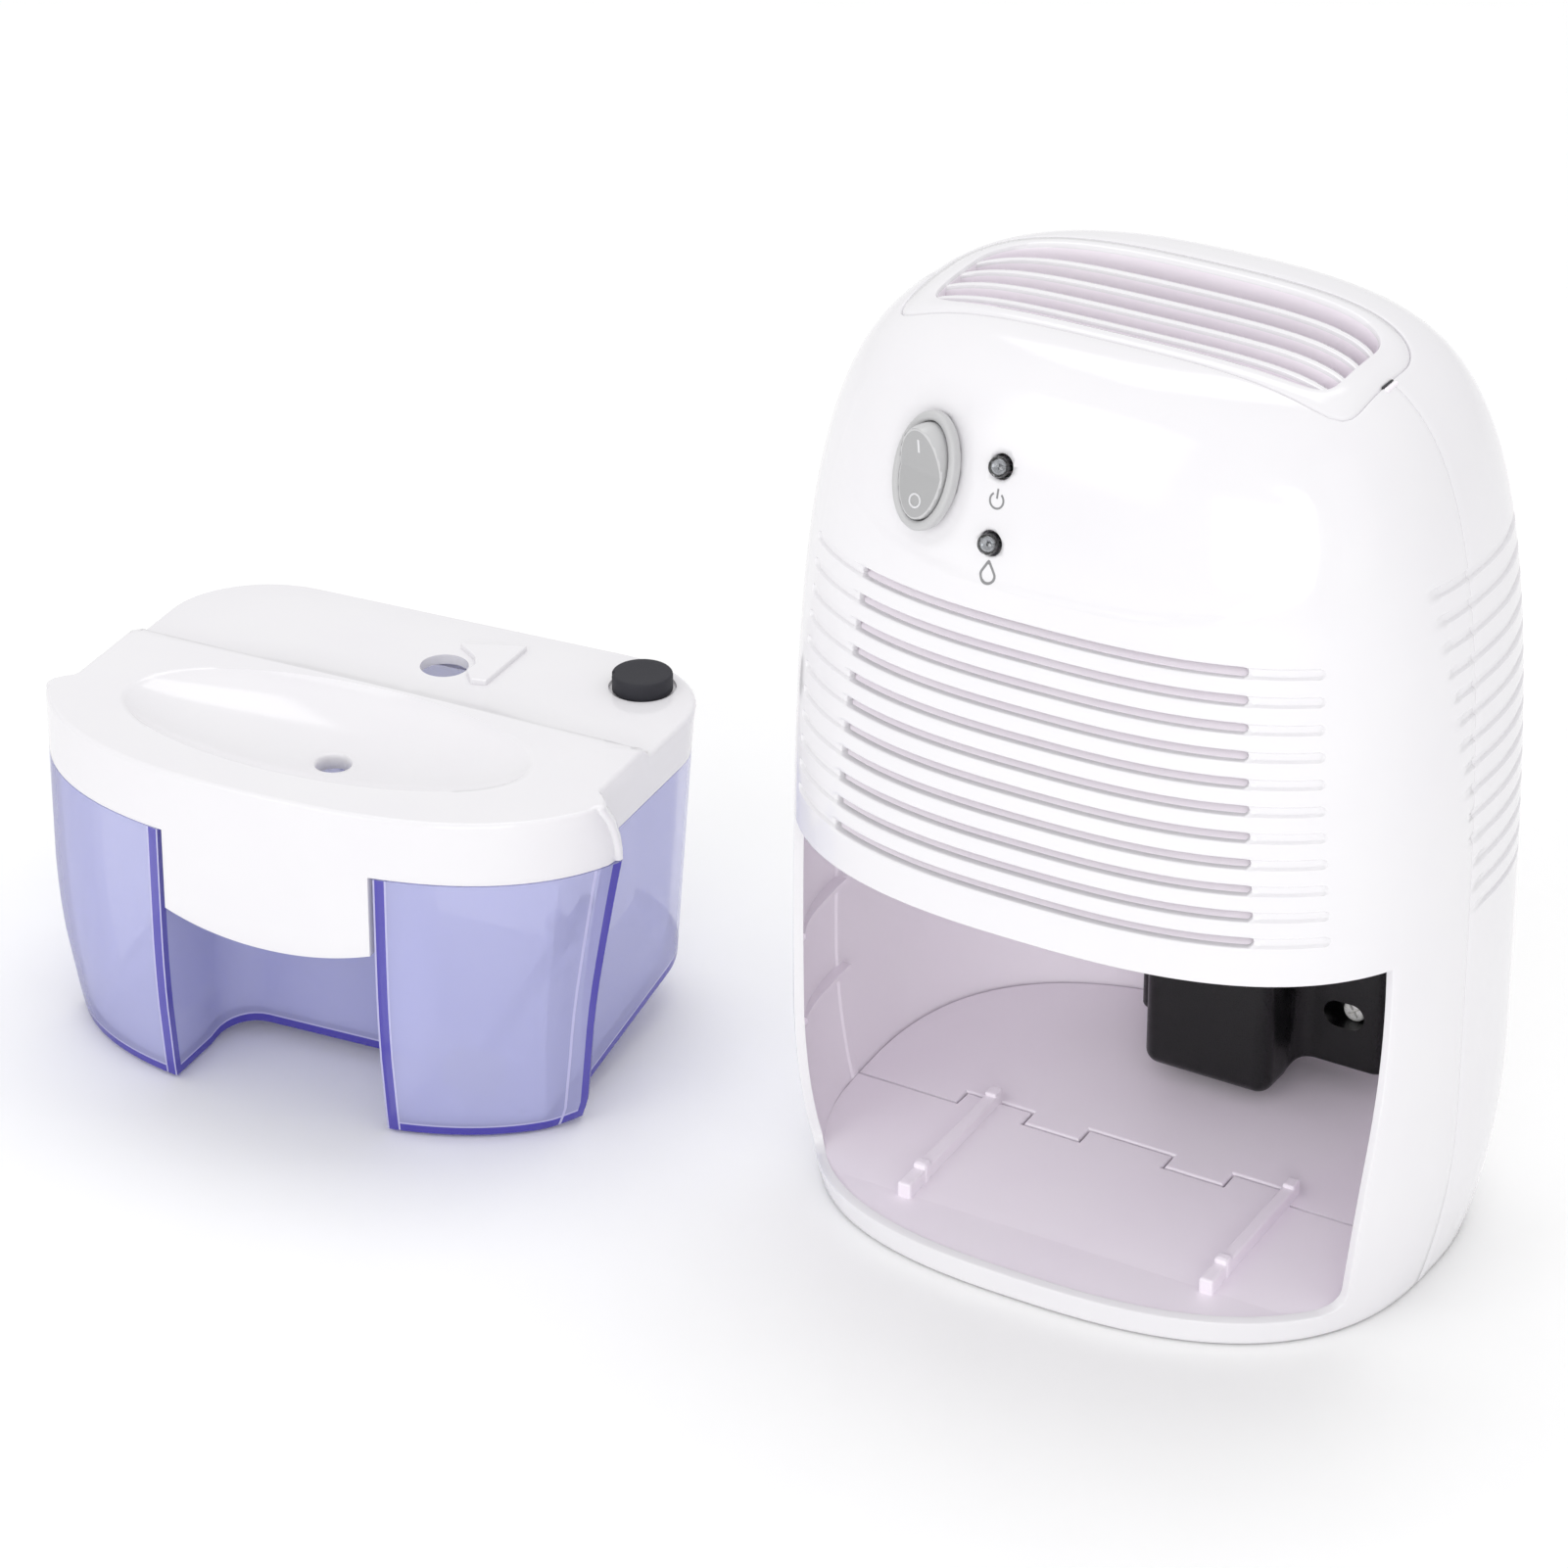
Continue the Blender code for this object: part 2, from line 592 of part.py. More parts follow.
def base(front, rear):
    outline = oval(half_width(0, WALL + GAP), half_depth(0, WALL + GAP), SECTION_POWER)
    plate_part = plate("base_plate", outline, 0, PLATE_THICKNESS, "Z", WHITE)
    head_room = 0.0012
    for sx in (-1, 1):
        for sy in (-1, 1):
            label = f"{'front' if sy < 0 else 'rear'}_{'left' if sx < 0 else 'right'}"
            x, y = sx * FOOT_PLACE[0], sy * FOOT_PLACE[1]
            pocket = FOOT_THICKNESS + GAP
            cut(plate_part, cylinder(f"pocket_{label}", FOOT_RADIUS + GAP, (x, y, -0.01), (x, y, pocket),
                                     points=FINE))
            foot = turned(f"foot_{label}", [(0, FOOT_THICKNESS), (FOOT_RADIUS, FOOT_THICKNESS),
                                            (FOOT_RADIUS, 0), (0, 0)], RUBBER, (x, y, 0), (0, 0, 1),
                          points=FINE)
            foot.rotation_quaternion = (1, 0, 0, 0)
            x, y = sx * BASE_SCREW_PLACE[0], sy * BASE_SCREW_PLACE[1]
            shell = front if sy < 0 else rear
            top = floor_z(y) - 0.0008
            boss_low = PLATE_THICKNESS + GAP
            join(shell, cylinder(f"base_boss_{label}", BOSS_RADIUS, (x, y, boss_low), (x, y, top)))
            cut(shell, cylinder(f"base_pilot_{label}", SCREW_RADIUS + GAP, (x, y, 0), (x, y, top - 0.0002)))
            cut(plate_part,
                cylinder(f"base_bore_{label}", SCREW_RADIUS + GAP, (x, y, -0.01), (x, y, 0.01)),
                cylinder(f"base_sink_{label}", HEAD_RADIUS + GAP, (x, y, -0.01), (x, y, head_room)))
            length = top - head_room - 0.0012
            turned(f"base_screw_{label}",
                   [(0, 0.0009), (HEAD_RADIUS, 0.0009), (HEAD_RADIUS, 0), (SCREW_RADIUS, 0),
                    (SCREW_RADIUS, -length), (0, -length)],
                   STEEL, (x, y, head_room - GAP), (0, 0, -1))


# ---------------------------------------------------------------- top grille

def grille():
    """A rim that continues the dome, and slats between its straight and arched edges."""
    grid = barrel("top_grille", colour=WHITE)
    keep(grid, plate("grille_rim", grille_outline(0), HEIGHT - 0.020, HEIGHT + 0.010))
    cut(grid, barrel("grille_under", GRILLE_THICKNESS, HEIGHT - 0.060))
    cut(grid, plate("grille_opening", grille_outline(GRILLE_RIM, GRILLE_RIM_END),
                    HEIGHT - 0.030, HEIGHT + 0.010))
    reach = GRILLE_HALF - GRILLE_RIM_END + 0.001
    front = GRILLE_FRONT - GRILLE_RIM
    rear = GRILLE_REAR - GRILLE_RIM
    steps = 10
    for k, share in enumerate(SLAT_SHARES):
        near, far = [], []
        for i in range(steps + 1):
            x = -reach + 2 * reach * i / steps
            bend = (1 - abs(x / (reach * 1.02)) ** SECTION_POWER) ** (1 / SECTION_POWER)
            y = -front + share * (front + rear * bend)
            near.append((x, y - SLAT_WIDTH / 2))
            far.append((x, y + SLAT_WIDTH / 2))
        slat = plate(f"slat_{k}", near + far[::-1], HEIGHT - 0.030, HEIGHT + 0.010)
        keep(slat, barrel(f"slat_top_{k}", 0.0010, HEIGHT - 0.080))
        cut(slat, barrel(f"slat_under_{k}", SLAT_DROP, HEIGHT - 0.080))
        join(grid, slat)


# ---------------------------------------------------------------- control panel

def switch():
    """Oval bezel with the switch's body behind it, all in the switch's own axes."""
    inner_x = SWITCH_HALF_WIDTH - SWITCH_RIM
    inner_y = SWITCH_HALF_HEIGHT - SWITCH_RIM
    # the rocker is round about its own axis, so that it clears the bezel as it tips
    body = plate("switch_body", oval(SWITCH_HALF_WIDTH, SWITCH_HALF_HEIGHT, 2.0, FINE),
                 GAP, SWITCH_PROUD, "Z", GREY, SWITCH)
    neck = plate("switch_neck", oval(SWITCH_HALF_WIDTH - 0.0017, SWITCH_HALF_HEIGHT - 0.0017, 2.0, FINE),
                 -SWITCH_DEPTH, SWITCH_PROUD / 2, parent=SWITCH)
    join(body, neck)
    gap = ROCKER_GAP
    cut(body, ball("rocker_room", (0, 0, SWITCH_PROUD / 2),
                   (inner_x + gap, inner_y + gap, inner_y + gap), parent=SWITCH))
    cut(body, plate("rocker_mouth", oval(inner_x + gap, inner_y + gap, 2.0, FINE),
                    SWITCH_PROUD / 2, 0.02, "Z", parent=SWITCH))

    tilt = Matrix.Translation((0, 0, SWITCH_PROUD / 2)) @ Matrix.Rotation(ROCKER_ANGLE, 4, "X")
    axis = empty("rocker_axis", tilt, SWITCH)
    rocker = ball("power_rocker", (0, 0, 0), (inner_x, inner_y, inner_y), PALE_GREY, axis)
    rise = math.tan(ROCKER_ANGLE) * 0.03
    crown = 0.0012
    valley = [(-0.03, crown + rise), (0, crown), (0.03, crown + rise), (0.03, 0.04), (-0.03, 0.04)]
    cut(rocker, plate("rocker_valley", valley, -0.02, 0.02, "X", parent=axis))
    cut(rocker, box("rocker_under", (-0.02, -0.02, -0.03), (0.02, 0.02, -0.004), parent=axis))

    for side in (-1, 1):
        label = "left" if side < 0 else "right"
        x = side * 0.0035
        box(f"switch_terminal_{label}", (x - 0.0004, -0.0024, -SWITCH_DEPTH - 0.0075),
            (x + 0.0004, 0.0024, -SWITCH_DEPTH - GAP), STEEL, SWITCH)


def indicators():
    for name, matrix in LEDS.items():
        out = matrix.col[2].xyz
        top = LED_RADIUS
        arc = [(top * math.sin(a), 0.0008 + top * math.cos(a) * 0.7)
               for a in [math.pi / 2 * i / 4 for i in range(5)]]
        profile = arc + [(top, -LED_REACH), (0, -LED_REACH)]
        turned(name, profile, CLEAR, matrix.translation, out, points=COARSE)
    low = min(LED_ZS.values()) - 0.008
    high = max(LED_ZS.values()) + 0.005
    box("control_board", (LED_X - 0.006, BOARD_Y, low), (LED_X + 0.030, BOARD_Y + BOARD_THICKNESS, high), BOARD)


# ---------------------------------------------------------------- cooling core

def comb(half, fins, pitch, base_y, thickness, length, direction):
    """Plan outline of a finned heatsink, fins pointing along +Y or -Y."""
    outline = [(half, base_y), (-half, base_y)]
    root = base_y + direction * thickness
    tip = root + direction * length
    outline.append((-half, root))
    for i in range(fins):
        x = (i - (fins - 1) / 2) * pitch
        outline += [(x - FIN_THICKNESS / 2, root), (x - FIN_THICKNESS / 2, tip),
                    (x + FIN_THICKNESS / 2, tip), (x + FIN_THICKNESS / 2, root)]
    outline.append((half, root))
    return outline


def core():
    tray_top = CEILING + TRAY_THICKNESS
    inset = WALL + TRAY_GAP
    tray = plate("drip_tray", oval(half_width(tray_top, inset), half_depth(tray_top, inset), SECTION_POWER),
                 CEILING, tray_top, "Z", WHITE)
    gutter_y = (0, FRAME_FRONT - 0.0130)
    join(tray, plate("gutter_wall", rounded(0.0400, 0.0120, 0.0060, gutter_y), tray_top - 0.001,
                     tray_top + 0.003))
    cut(tray, plate("gutter", rounded(0.0385, 0.0105, 0.0045, gutter_y), tray_top, tray_top + 0.02))
    cut(tray, cylinder("spout", 0.0035, (0, BASIN_Y, 0.08), (0, BASIN_Y, 0.11)))
    cut(tray, box("lead_notch", (0.030, 0.041, 0.08), (0.046, 0.09, 0.11)))

    z0 = CORE_Z - CORE_HALF
    z1 = CORE_Z + CORE_HALF
    back = FRAME_FRONT + FRAME_THICKNESS
    frame = plate("core_frame", rounded(FRAME_HALF, CORE_HALF + 0.0005, 0.006, (0, CORE_Z)),
                  FRAME_FRONT, back, "Y", WHITE)
    cut(frame, box("peltier_window", (-PELTIER_HALF - GAP, -0.05, CORE_Z - PELTIER_HALF - GAP),
                   (PELTIER_HALF + GAP, 0.05, CORE_Z + PELTIER_HALF + GAP)))
    box("peltier_module", (-PELTIER_HALF, FRAME_FRONT + GAP / 3, CORE_Z - PELTIER_HALF),
        (PELTIER_HALF, back - GAP / 3, CORE_Z + PELTIER_HALF), CERAMIC)
    cold = comb(COLD_HALF, COLD_FINS, 0.0072, FRAME_FRONT - GAP, SINK_BASE, COLD_FIN_LENGTH, -1)
    plate("cold_heatsink", cold, CORE_Z - COLD_HALF, CORE_Z + COLD_HALF, "Z", ALUMINIUM)
    hot_base = back + GAP
    hot = comb(CORE_HALF, HOT_FINS, FIN_PITCH, hot_base, SINK_BASE, HOT_FIN_LENGTH, 1)
    plate("hot_heatsink", hot, z0, z1, "Z", ALUMINIUM)
    fan(hot_base + SINK_BASE + HOT_FIN_LENGTH + GAP)


def fan(front):
    back = front + FAN_THICKNESS
    frame = plate("fan_frame", rounded(FAN_HALF, FAN_HALF, 0.004, (0, CORE_Z)), front, back, "Y", BLACK)
    cut(frame, cylinder("fan_bore", FAN_BORE, (0, front - 0.01, CORE_Z), (0, back + 0.01, CORE_Z),
                        points=32))
    web_front = front + GAP
    web_back = web_front + 0.0020
    join(frame, cylinder("hub_plate", FAN_HUB, (0, web_front, CORE_Z), (0, web_back, CORE_Z), points=FINE))
    for i in range(4):
        angle = math.pi / 4 + i * math.pi / 2
        strut = box(f"strut_{i}", (FAN_HUB - 0.002, web_front + 0.0002, -0.0015),
                    (FAN_BORE + 0.001, web_back - 0.0002, 0.0015))
        strut.data.transform(Matrix.Translation((0, 0, CORE_Z)) @ Matrix.Rotation(angle, 4, "Y"))
        join(frame, strut)
    hub_front = web_back + GAP * 2
    centre = (hub_front + back - 0.001) / 2
    axis = empty("fan_axis", Matrix.Translation((0, centre, CORE_Z)))
    deep = back - 0.001 - hub_front
    rotor = cylinder("fan_impeller", FAN_HUB, (0, -deep / 2, 0), (0, deep / 2, 0), BLACK, axis, points=FINE)
    for i in range(FAN_BLADES):
        length = FAN_BORE - 0.0015 - (FAN_HUB - 0.002)
        blade = box(f"blade_{i}", (-0.0085, -0.0006, FAN_HUB - 0.002), (0.0085, 0.0006, FAN_HUB - 0.002 + length),
                    parent=axis)
        pitch = Matrix.Rotation(math.radians(32), 4, "Z")
        blade.data.transform(Matrix.Rotation(2 * math.pi * i / FAN_BLADES, 4, "Y") @ pitch)
        join(rotor, blade)
    for sx in (-1, 1):
        for sz in (-1, 1):
            label = f"{'lower' if sz < 0 else 'upper'}_{'left' if sx < 0 else 'right'}"
            x, z = sx * FAN_HOLE, CORE_Z + sz * FAN_HOLE
            cut(frame, cylinder(f"fan_hole_{label}", SCREW_RADIUS + 0.0004, (x, front - 0.01, z),
                                (x, back + 0.01, z)))
            turned(f"fan_screw_{label}", screw_profile(FAN_THICKNESS + 0.006), STEEL,
                   (x, back + GAP, z), (0, 1, 0))


# ---------------------------------------------------------------- rear of the bay

def sensor():
    """Black cover over the power inlet and the board that feels the float's magnet."""
    x0, x1 = COVER_X
    z0, z1 = COVER_Z
    middle = ((x0 + x1) / 2, (z0 + z1) / 2)
    half = ((x1 - x0) / 2, (z1 - z0) / 2)
    cover = plate("sensor_cover", rounded(*half, 0.004, middle), COVER_FRONT, COVER_BACK, "Y", BLACK)
    e0, e1 = COVER_EARS_X
    h0, h1 = COVER_EARS_Z
    ears = plate("cover_ears", rounded((e1 - e0) / 2, (h1 - h0) / 2, 0.005, ((e0 + e1) / 2, (h0 + h1) / 2)),
                 COVER_EARS_FRONT, COVER_BACK, "Y")
    join(cover, ears)
    cut(cover, plate("cover_hollow", rounded(half[0] - COVER_WALL, half[1] - COVER_WALL, 0.003, middle),
                     COVER_FRONT + COVER_WALL, COVER_BACK + 0.01, "Y"))
    sx, sz = COVER_SCREW
    floor_y = COVER_BACK - 0.0025
    cut(cover, plate("screw_slot", rounded(0.0050, 0.0032, 0.0031, (sx - 0.0015, sz)), 0.03, floor_y, "Y"))
    cut(cover, cylinder("cover_bore", SCREW_RADIUS + GAP, (sx, 0.03, sz), (sx, 0.06, sz)))
    turned("sensor_cover_screw",
           [(0, HEAD_HEIGHT), (HEAD_RADIUS, HEAD_HEIGHT), (HEAD_RADIUS, 0), (SCREW_RADIUS, 0),
            (SCREW_RADIUS, -0.006), (0, -0.006)], STEEL, (sx, floor_y - GAP, sz), (0, -1, 0))
    y = COVER_FRONT + COVER_WALL + 0.0015
    box("sensor_board", (x0 + COVER_WALL + 0.002, y, z0 + COVER_WALL + 0.002),
        (x1 - COVER_WALL - 0.002, y + BOARD_THICKNESS, z1 - COVER_WALL - 0.004), BOARD)
    x, z = INLET_PLACE
    outer = -front_y(x, z)
    bottom = -0.0100
    length = -0.0170
    turned("dc_inlet", [(0, bottom), (0.0030, bottom), (0.0030, 0), (INLET_RADIUS, 0), (INLET_RADIUS, length),
                        (0, length)], BLACK, (x, outer, z), (0, 1, 0), points=FINE)


# ---------------------------------------------------------------- leads inside the housing

def leads():
    tube("power_lead", [(0.0120, 0.0440, 0.0300), (0.0130, 0.0510, 0.0520), (0.0380, 0.0445, 0.0800),
                        (0.0390, 0.0440, 0.1000), (0.0470, 0.0330, 0.1350), (0.0440, 0.0220, 0.1760),
                        (0.0200, 0.0000, 0.1860), (-0.0100, -0.0180, 0.1900), (-0.0240, -0.0240, 0.1880)],
         0.0015, LEAD)
    tube("fan_lead", [(0.0300, 0.0100, 0.1760), (0.0280, -0.0050, 0.1800), (0.0200, -0.0200, 0.1780),
                      (0.0120, -0.0290, 0.1800)], 0.0009, LEAD)
    tube("peltier_lead", [(-0.0100, -0.0150, 0.1780), (-0.0080, -0.0180, 0.1820), (-0.0030, -0.0240, 0.1800),
                          (0.0020, -0.0295, 0.1760)], 0.0009, LEAD)


# ---------------------------------------------------------------- tank

TANK = empty("tank_place", Matrix.Translation((*TANK_PLACE, 0)) @ Matrix.Rotation(TANK_TURN, 4, "Z"))


def wing_half(z):
    rise = (MOUTH_HALF_TOP - MOUTH_HALF_LOW) / (MOUTH_TOP - FLOOR_FRONT)
    return MOUTH_HALF_LOW + rise * (z + TANK_RAISE - FLOOR_FRONT) - TANK_GAP


def tank_ring(z, inset=0.0, wings=True):
    """Plan of the tank at a level: the housing's front, wings, sides, round rear corners."""
    bay_z = z + TANK_RAISE
    half = wing_half(z)
    side = half - TANK_STEP
    reach = half if wings else side - inset
    across = 12
    right = []
    for i in range(across + 1):
        x = reach * math.sin(math.pi / 2 * i / across)
        right.append((x, front_y(x, bay_z) + inset))
    edge_y = right[-1][1]
    if wings:
        right += [(half - 0.0008, edge_y + 0.0022), (side, edge_y + 0.0065)]
    rear = TANK_REAR - inset
    corner_x = 0.026
    corner_y = 0.024
    for i in range(7):
        angle = math.pi / 2 * i / 6
        right.append((side - inset - corner_x + corner_x * math.cos(angle),
                      rear - corner_y + corner_y * math.sin(angle)))
    left = [(-x, y) for x, y in right[1:]]
    return [(x, y, z) for x, y in right + left[::-1]]


def tank_solid(name, low, high, inset=0.0, wings=True, colour=None, levels=4):
    rings = [tank_ring(low + (high - low) * i / levels, inset, wings) for i in range(levels + 1)]
    return loft(name, rings, colour, TANK)


def tank_underside(name, lift=0.0):
    far = 0.09
    outline = [(-far, -0.02), (far, -0.02), (far, lift + TANK_BEND_SLOPE * (far - TANK_BEND_Y)),
               (TANK_BEND_Y, lift), (-far, lift)]
    return plate(name, outline, -WIDTH, WIDTH, "X", parent=TANK)


def recess(name, grow, low, high):
    """Finger recess behind the tongue, with round inner corners."""
    half = RECESS_HALF + grow
    rear = RECESS_REAR + grow
    middle = (rear - 0.09) / 2
    outline = rounded(half, rear - middle, 0.009, (0, middle))
    return plate(name, outline, low, high, "Z", parent=TANK)


def alcove(name, grow, low):
    """Space at the rear of the tank for the black cover."""
    x0, x1 = ALCOVE_X
    middle = ((x0 + x1) / 2, ALCOVE_FRONT + 0.03)
    outline = rounded((x1 - x0) / 2 + grow, 0.03 + grow, 0.004, middle, steps=3)
    return plate(name, outline, low, ALCOVE_TOP + grow, "Z", parent=TANK)


def reservoir():
    top = TANK_HEIGHT - LID_SKIRT - GAP
    body = tank_solid("reservoir", 0, top, colour=BLUE)
    cut(body, tank_underside("tank_bend"))
    cut(body, recess("grip", 0, -0.01, top + 0.01))
    cut(body, alcove("cover_space", 0, -0.01))
    water = tank_solid("water_space", TANK_WALL, top + 0.01, TANK_WALL, wings=False)
    cut(water, tank_underside("water_floor", TANK_WALL))
    cut(water, recess("grip_wall", TANK_WALL, -0.01, top + 0.02))
    cut(water, alcove("cover_wall", TANK_WALL, -0.01))
    groove_top = RAIL_TOP - TANK_RAISE + 0.0006
    for side in (-1, 1):
        x = side * RAIL_X
        wide = RAIL_WIDTH / 2 + 0.0006
        cut(body, box(f"groove_{side}", (x - wide, RAIL_FRONT - 0.001, -0.01), (x + wide, 0.03, groove_top),
                      parent=TANK))
        thick = wide + 0.0014
        cut(water, box(f"groove_wall_{side}", (x - thick, RAIL_FRONT - 0.0024, -0.01),
                       (x + thick, 0.03, groove_top + 0.0014), parent=TANK))
    cut(body, water)
    px, py, pz = FLOAT_PIVOT
    pin_hole = cylinder("pin_hole", FLOAT_PIN_RADIUS + 0.0001, (px - 0.01, py, pz), (px + 0.01, py, pz),
                        parent=TANK)
    for side in (-1, 1):
        x = px + side * 0.0042
        low = TANK_WALL + TANK_BEND_SLOPE * (py - TANK_BEND_Y) - 0.001
        join(body, box(f"float_lug_{side}", (x - 0.0010, py - 0.003, low), (x + 0.0010, py + 0.003, pz + 0.003),
                       parent=TANK))
    cut(body, pin_hole)


def lid():
    top = TANK_HEIGHT
    low = top - LID_SKIRT
    shut = tank_solid("tank_lid", low, top, colour=WHITE, levels=2)
    plug_low = low - LID_PLUG_DEPTH
    tongue = tank_solid("tongue", TONGUE_BOTTOM, low + 0.001, wings=False, levels=2)
    keep(tongue, box("tongue_front", (-TONGUE_HALF, -0.09, 0), (TONGUE_HALF, -0.03, 0.09), parent=TANK))
    behind = tank_solid("tongue_behind", TONGUE_BOTTOM - 0.01, low + 0.01, LID_WALL, wings=False, levels=2)
    cut(tongue, behind)
    inner = TANK_WALL + GAP
    rim = tank_solid("lid_rim", plug_low, low + 0.003, inner, wings=False, levels=1)
    cut(rim, recess("rim_recess", inner, plug_low - 0.01, low + 0.02))
    join(shut, rim)
    cavity = tank_solid("lid_cavity", plug_low - 0.01, top - LID_WALL - LID_DECK_DROP, inner + 0.0016,
                        wings=False, levels=2)
    cut(cavity, recess("cavity_recess", inner + 0.0016, plug_low - 0.02, low + 0.0016))
    cut(shut, cavity)
    join(shut, tongue)
    cut(shut, box("rear_deck", (-0.09, LID_DECK_FRONT, top - LID_DECK_DROP), (0.09, 0.09, top + 0.01),
                  parent=TANK))

    lift = 0.003
    tall = BASIN_DEPTH + lift
    spread = 1 / math.sqrt(1 - (lift / tall) ** 2)
    half = (BASIN_HALF[0] * spread, BASIN_HALF[1] * spread, tall)
    centre = (0, BASIN_Y, top + lift)
    bowl = ball("bowl", centre, [h + 0.0018 for h in half], parent=TANK)
    keep(bowl, box("bowl_limit", (-0.09, -0.09, 0), (0.09, 0.09, top - 0.001), parent=TANK))
    keep(bowl, tank_solid("bowl_inside", low - 0.02, top, 0.001, wings=False, levels=2))
    join(shut, bowl)
    cut(shut, ball("basin", centre, half, parent=TANK))
    cut(shut, cylinder("drip_hole", DRIP_RADIUS, (0, BASIN_Y, 0), (0, BASIN_Y, 0.1), points=FINE, parent=TANK))
    vx, vy = VENT_PLACE
    cut(shut, cylinder("vent_hole", VENT_RADIUS, (vx, vy, 0), (vx, vy, 0.1), points=FINE, parent=TANK))

    px, py = PLUG_PLACE
    deck = top - LID_DECK_DROP
    neck = PLUG_RADIUS - 0.0012
    seat = 0.0008
    cut(shut, cylinder("plug_seat", PLUG_RADIUS + 0.0008, (px, py, deck - seat), (px, py, 0.1), points=FINE,
                       parent=TANK))
    cut(shut, cylinder("plug_hole", neck + GAP, (px, py, 0), (px, py, 0.1), points=FINE, parent=TANK))
    rest = deck - seat + GAP
    turned("drain_plug", [(0, PLUG_PROUD), (PLUG_RADIUS - 0.0006, PLUG_PROUD), (PLUG_RADIUS, PLUG_PROUD - 0.0006),
                          (PLUG_RADIUS, 0), (neck, 0), (neck, -0.0050), (0, -0.0050)], RUBBER,
           (px, py, rest), (0, 0, 1), TANK, FINE).rotation_quaternion = (1, 0, 0, 0)


def float_gauge():
    """Float on a swinging arm, with the magnet that tells the sensor the tank is full."""
    pivot = empty("float_pivot", Matrix.Translation(FLOAT_PIVOT), TANK)
    reach = Vector(FLOAT_PLACE) - Vector(FLOAT_PIVOT)
    arm = cylinder("float_arm", 0.0028, (-0.0028, 0, 0), (0.0028, 0, 0), BLUE, pivot, points=FINE)
    tilt = math.atan2(reach.z, -reach.y)
    length = math.hypot(reach.y, reach.z)
    turn = Matrix.Rotation(-tilt, 4, "X")
    bar = box("arm_bar", (-0.0014, -length - 0.001, -0.0014), (0.0014, 0.0085, 0.0014), parent=pivot)
    bar.data.transform(turn)
    join(arm, bar)
    cut(arm, cylinder("arm_bore", FLOAT_PIN_RADIUS + 0.00015, (-0.01, 0, 0), (0.01, 0, 0), parent=pivot))
    hx, hy, hz = FLOAT_HALF
    block = plate("float_block", rounded(hy, hz, 0.0015, (reach.y, reach.z), steps=2), -hx, hx, "X", FOAM, pivot)
    space = box("float_notch", (-0.0014 - GAP, -length - 0.001 - GAP, -0.0014 - GAP),
                (0.0014 + GAP, 0, 0.0014 + GAP), parent=pivot)
    space.data.transform(turn)
    cut(block, space)
    magnet = cylinder("float_magnet", 0.0022, (0, 0.0088, 0), (0, 0.0104, 0), STEEL, pivot)
    magnet.data.transform(turn)
    cylinder("float_pin", FLOAT_PIN_RADIUS, Vector(FLOAT_PIVOT) - Vector((0.0052, 0, 0)),
             Vector(FLOAT_PIVOT) + Vector((0.0052, 0, 0)), STEEL, TANK)


housing()
grille()
switch()
indicators()
core()
sensor()
leads()
reservoir()
lid()
float_gauge()
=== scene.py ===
"""Looks of a small Peltier dehumidifier, with its water tank standing beside it.

Metres, in the frame's axes: +Z up, the front faces -Y. The tank's pieces are shaped in the axes
of the bay that they belong in, and TANK carries them to where the tank stands.
"""
import json
import math

import bmesh
import bpy
from mathutils import Matrix, Vector


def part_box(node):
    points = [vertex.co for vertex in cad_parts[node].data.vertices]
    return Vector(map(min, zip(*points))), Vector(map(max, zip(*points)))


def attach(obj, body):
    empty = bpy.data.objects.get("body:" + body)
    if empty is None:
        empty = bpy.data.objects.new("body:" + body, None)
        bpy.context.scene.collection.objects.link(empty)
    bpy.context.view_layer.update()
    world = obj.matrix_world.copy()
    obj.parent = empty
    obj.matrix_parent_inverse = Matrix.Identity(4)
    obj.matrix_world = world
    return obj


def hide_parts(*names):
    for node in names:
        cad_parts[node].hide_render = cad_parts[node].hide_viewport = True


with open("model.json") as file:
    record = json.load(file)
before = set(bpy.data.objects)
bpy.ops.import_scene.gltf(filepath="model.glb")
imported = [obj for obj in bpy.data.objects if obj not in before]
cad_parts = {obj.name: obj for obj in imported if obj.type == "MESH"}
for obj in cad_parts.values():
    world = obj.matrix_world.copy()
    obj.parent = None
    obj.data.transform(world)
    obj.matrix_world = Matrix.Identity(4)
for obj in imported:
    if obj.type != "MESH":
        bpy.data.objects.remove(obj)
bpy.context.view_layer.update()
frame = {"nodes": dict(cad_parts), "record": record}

MM = 0.001

# The barrel: sections are superellipses, the same surface as the frame's shells
WIDTH = 0.156
DEPTH = 0.1212
HEIGHT = 0.2157
BELLY = 0.0467
SECTION_POWER = 2.594
SIDE_PROFILE = (0.91, 3.97, 5.798)
END_PROFILE = (0.935, 2.297, 5.671)
WALL = 0.0022
SEAM_Y = -0.005
SEAM_GAP = 0.0003
SEAM_STEP = 0.0048
SEAM_STEP_XS = (-0.045, -0.028, -0.0135, 0.0077, 0.0228, 0.036)

# Tank bay
FLOOR_FRONT = 0.006
FLOOR_LEVEL_TO = -0.040
FLOOR_SLOPE = 0.09
MOUTH_TOP = 0.0911
MOUTH_HALF_TOP = 0.0726
MOUTH_HALF_LOW = 0.0663
MOUTH_BULGE = 0.0021        # how much wider the right side is half-way up
MOUTH_SQUEEZE = -0.0010     # and the left side
RAIL_X = 0.0376
# a rail's blocks, each with its half width, front, rear, top and round edge
RAIL_BLOCKS = ((0.0015, -0.0385, -0.0010, 0.0096, 0.0005),      # the rail
               (0.0017, -0.0416, -0.0362, 0.0096, 0.0006),      # its thicker front end
               (0.0017, -0.0350, -0.0318, 0.0108, 0.0009),      # the catch for the tank
               (0.0014, -0.0030, 0.0003, 0.0104, 0.0004))       # its stop at the rear

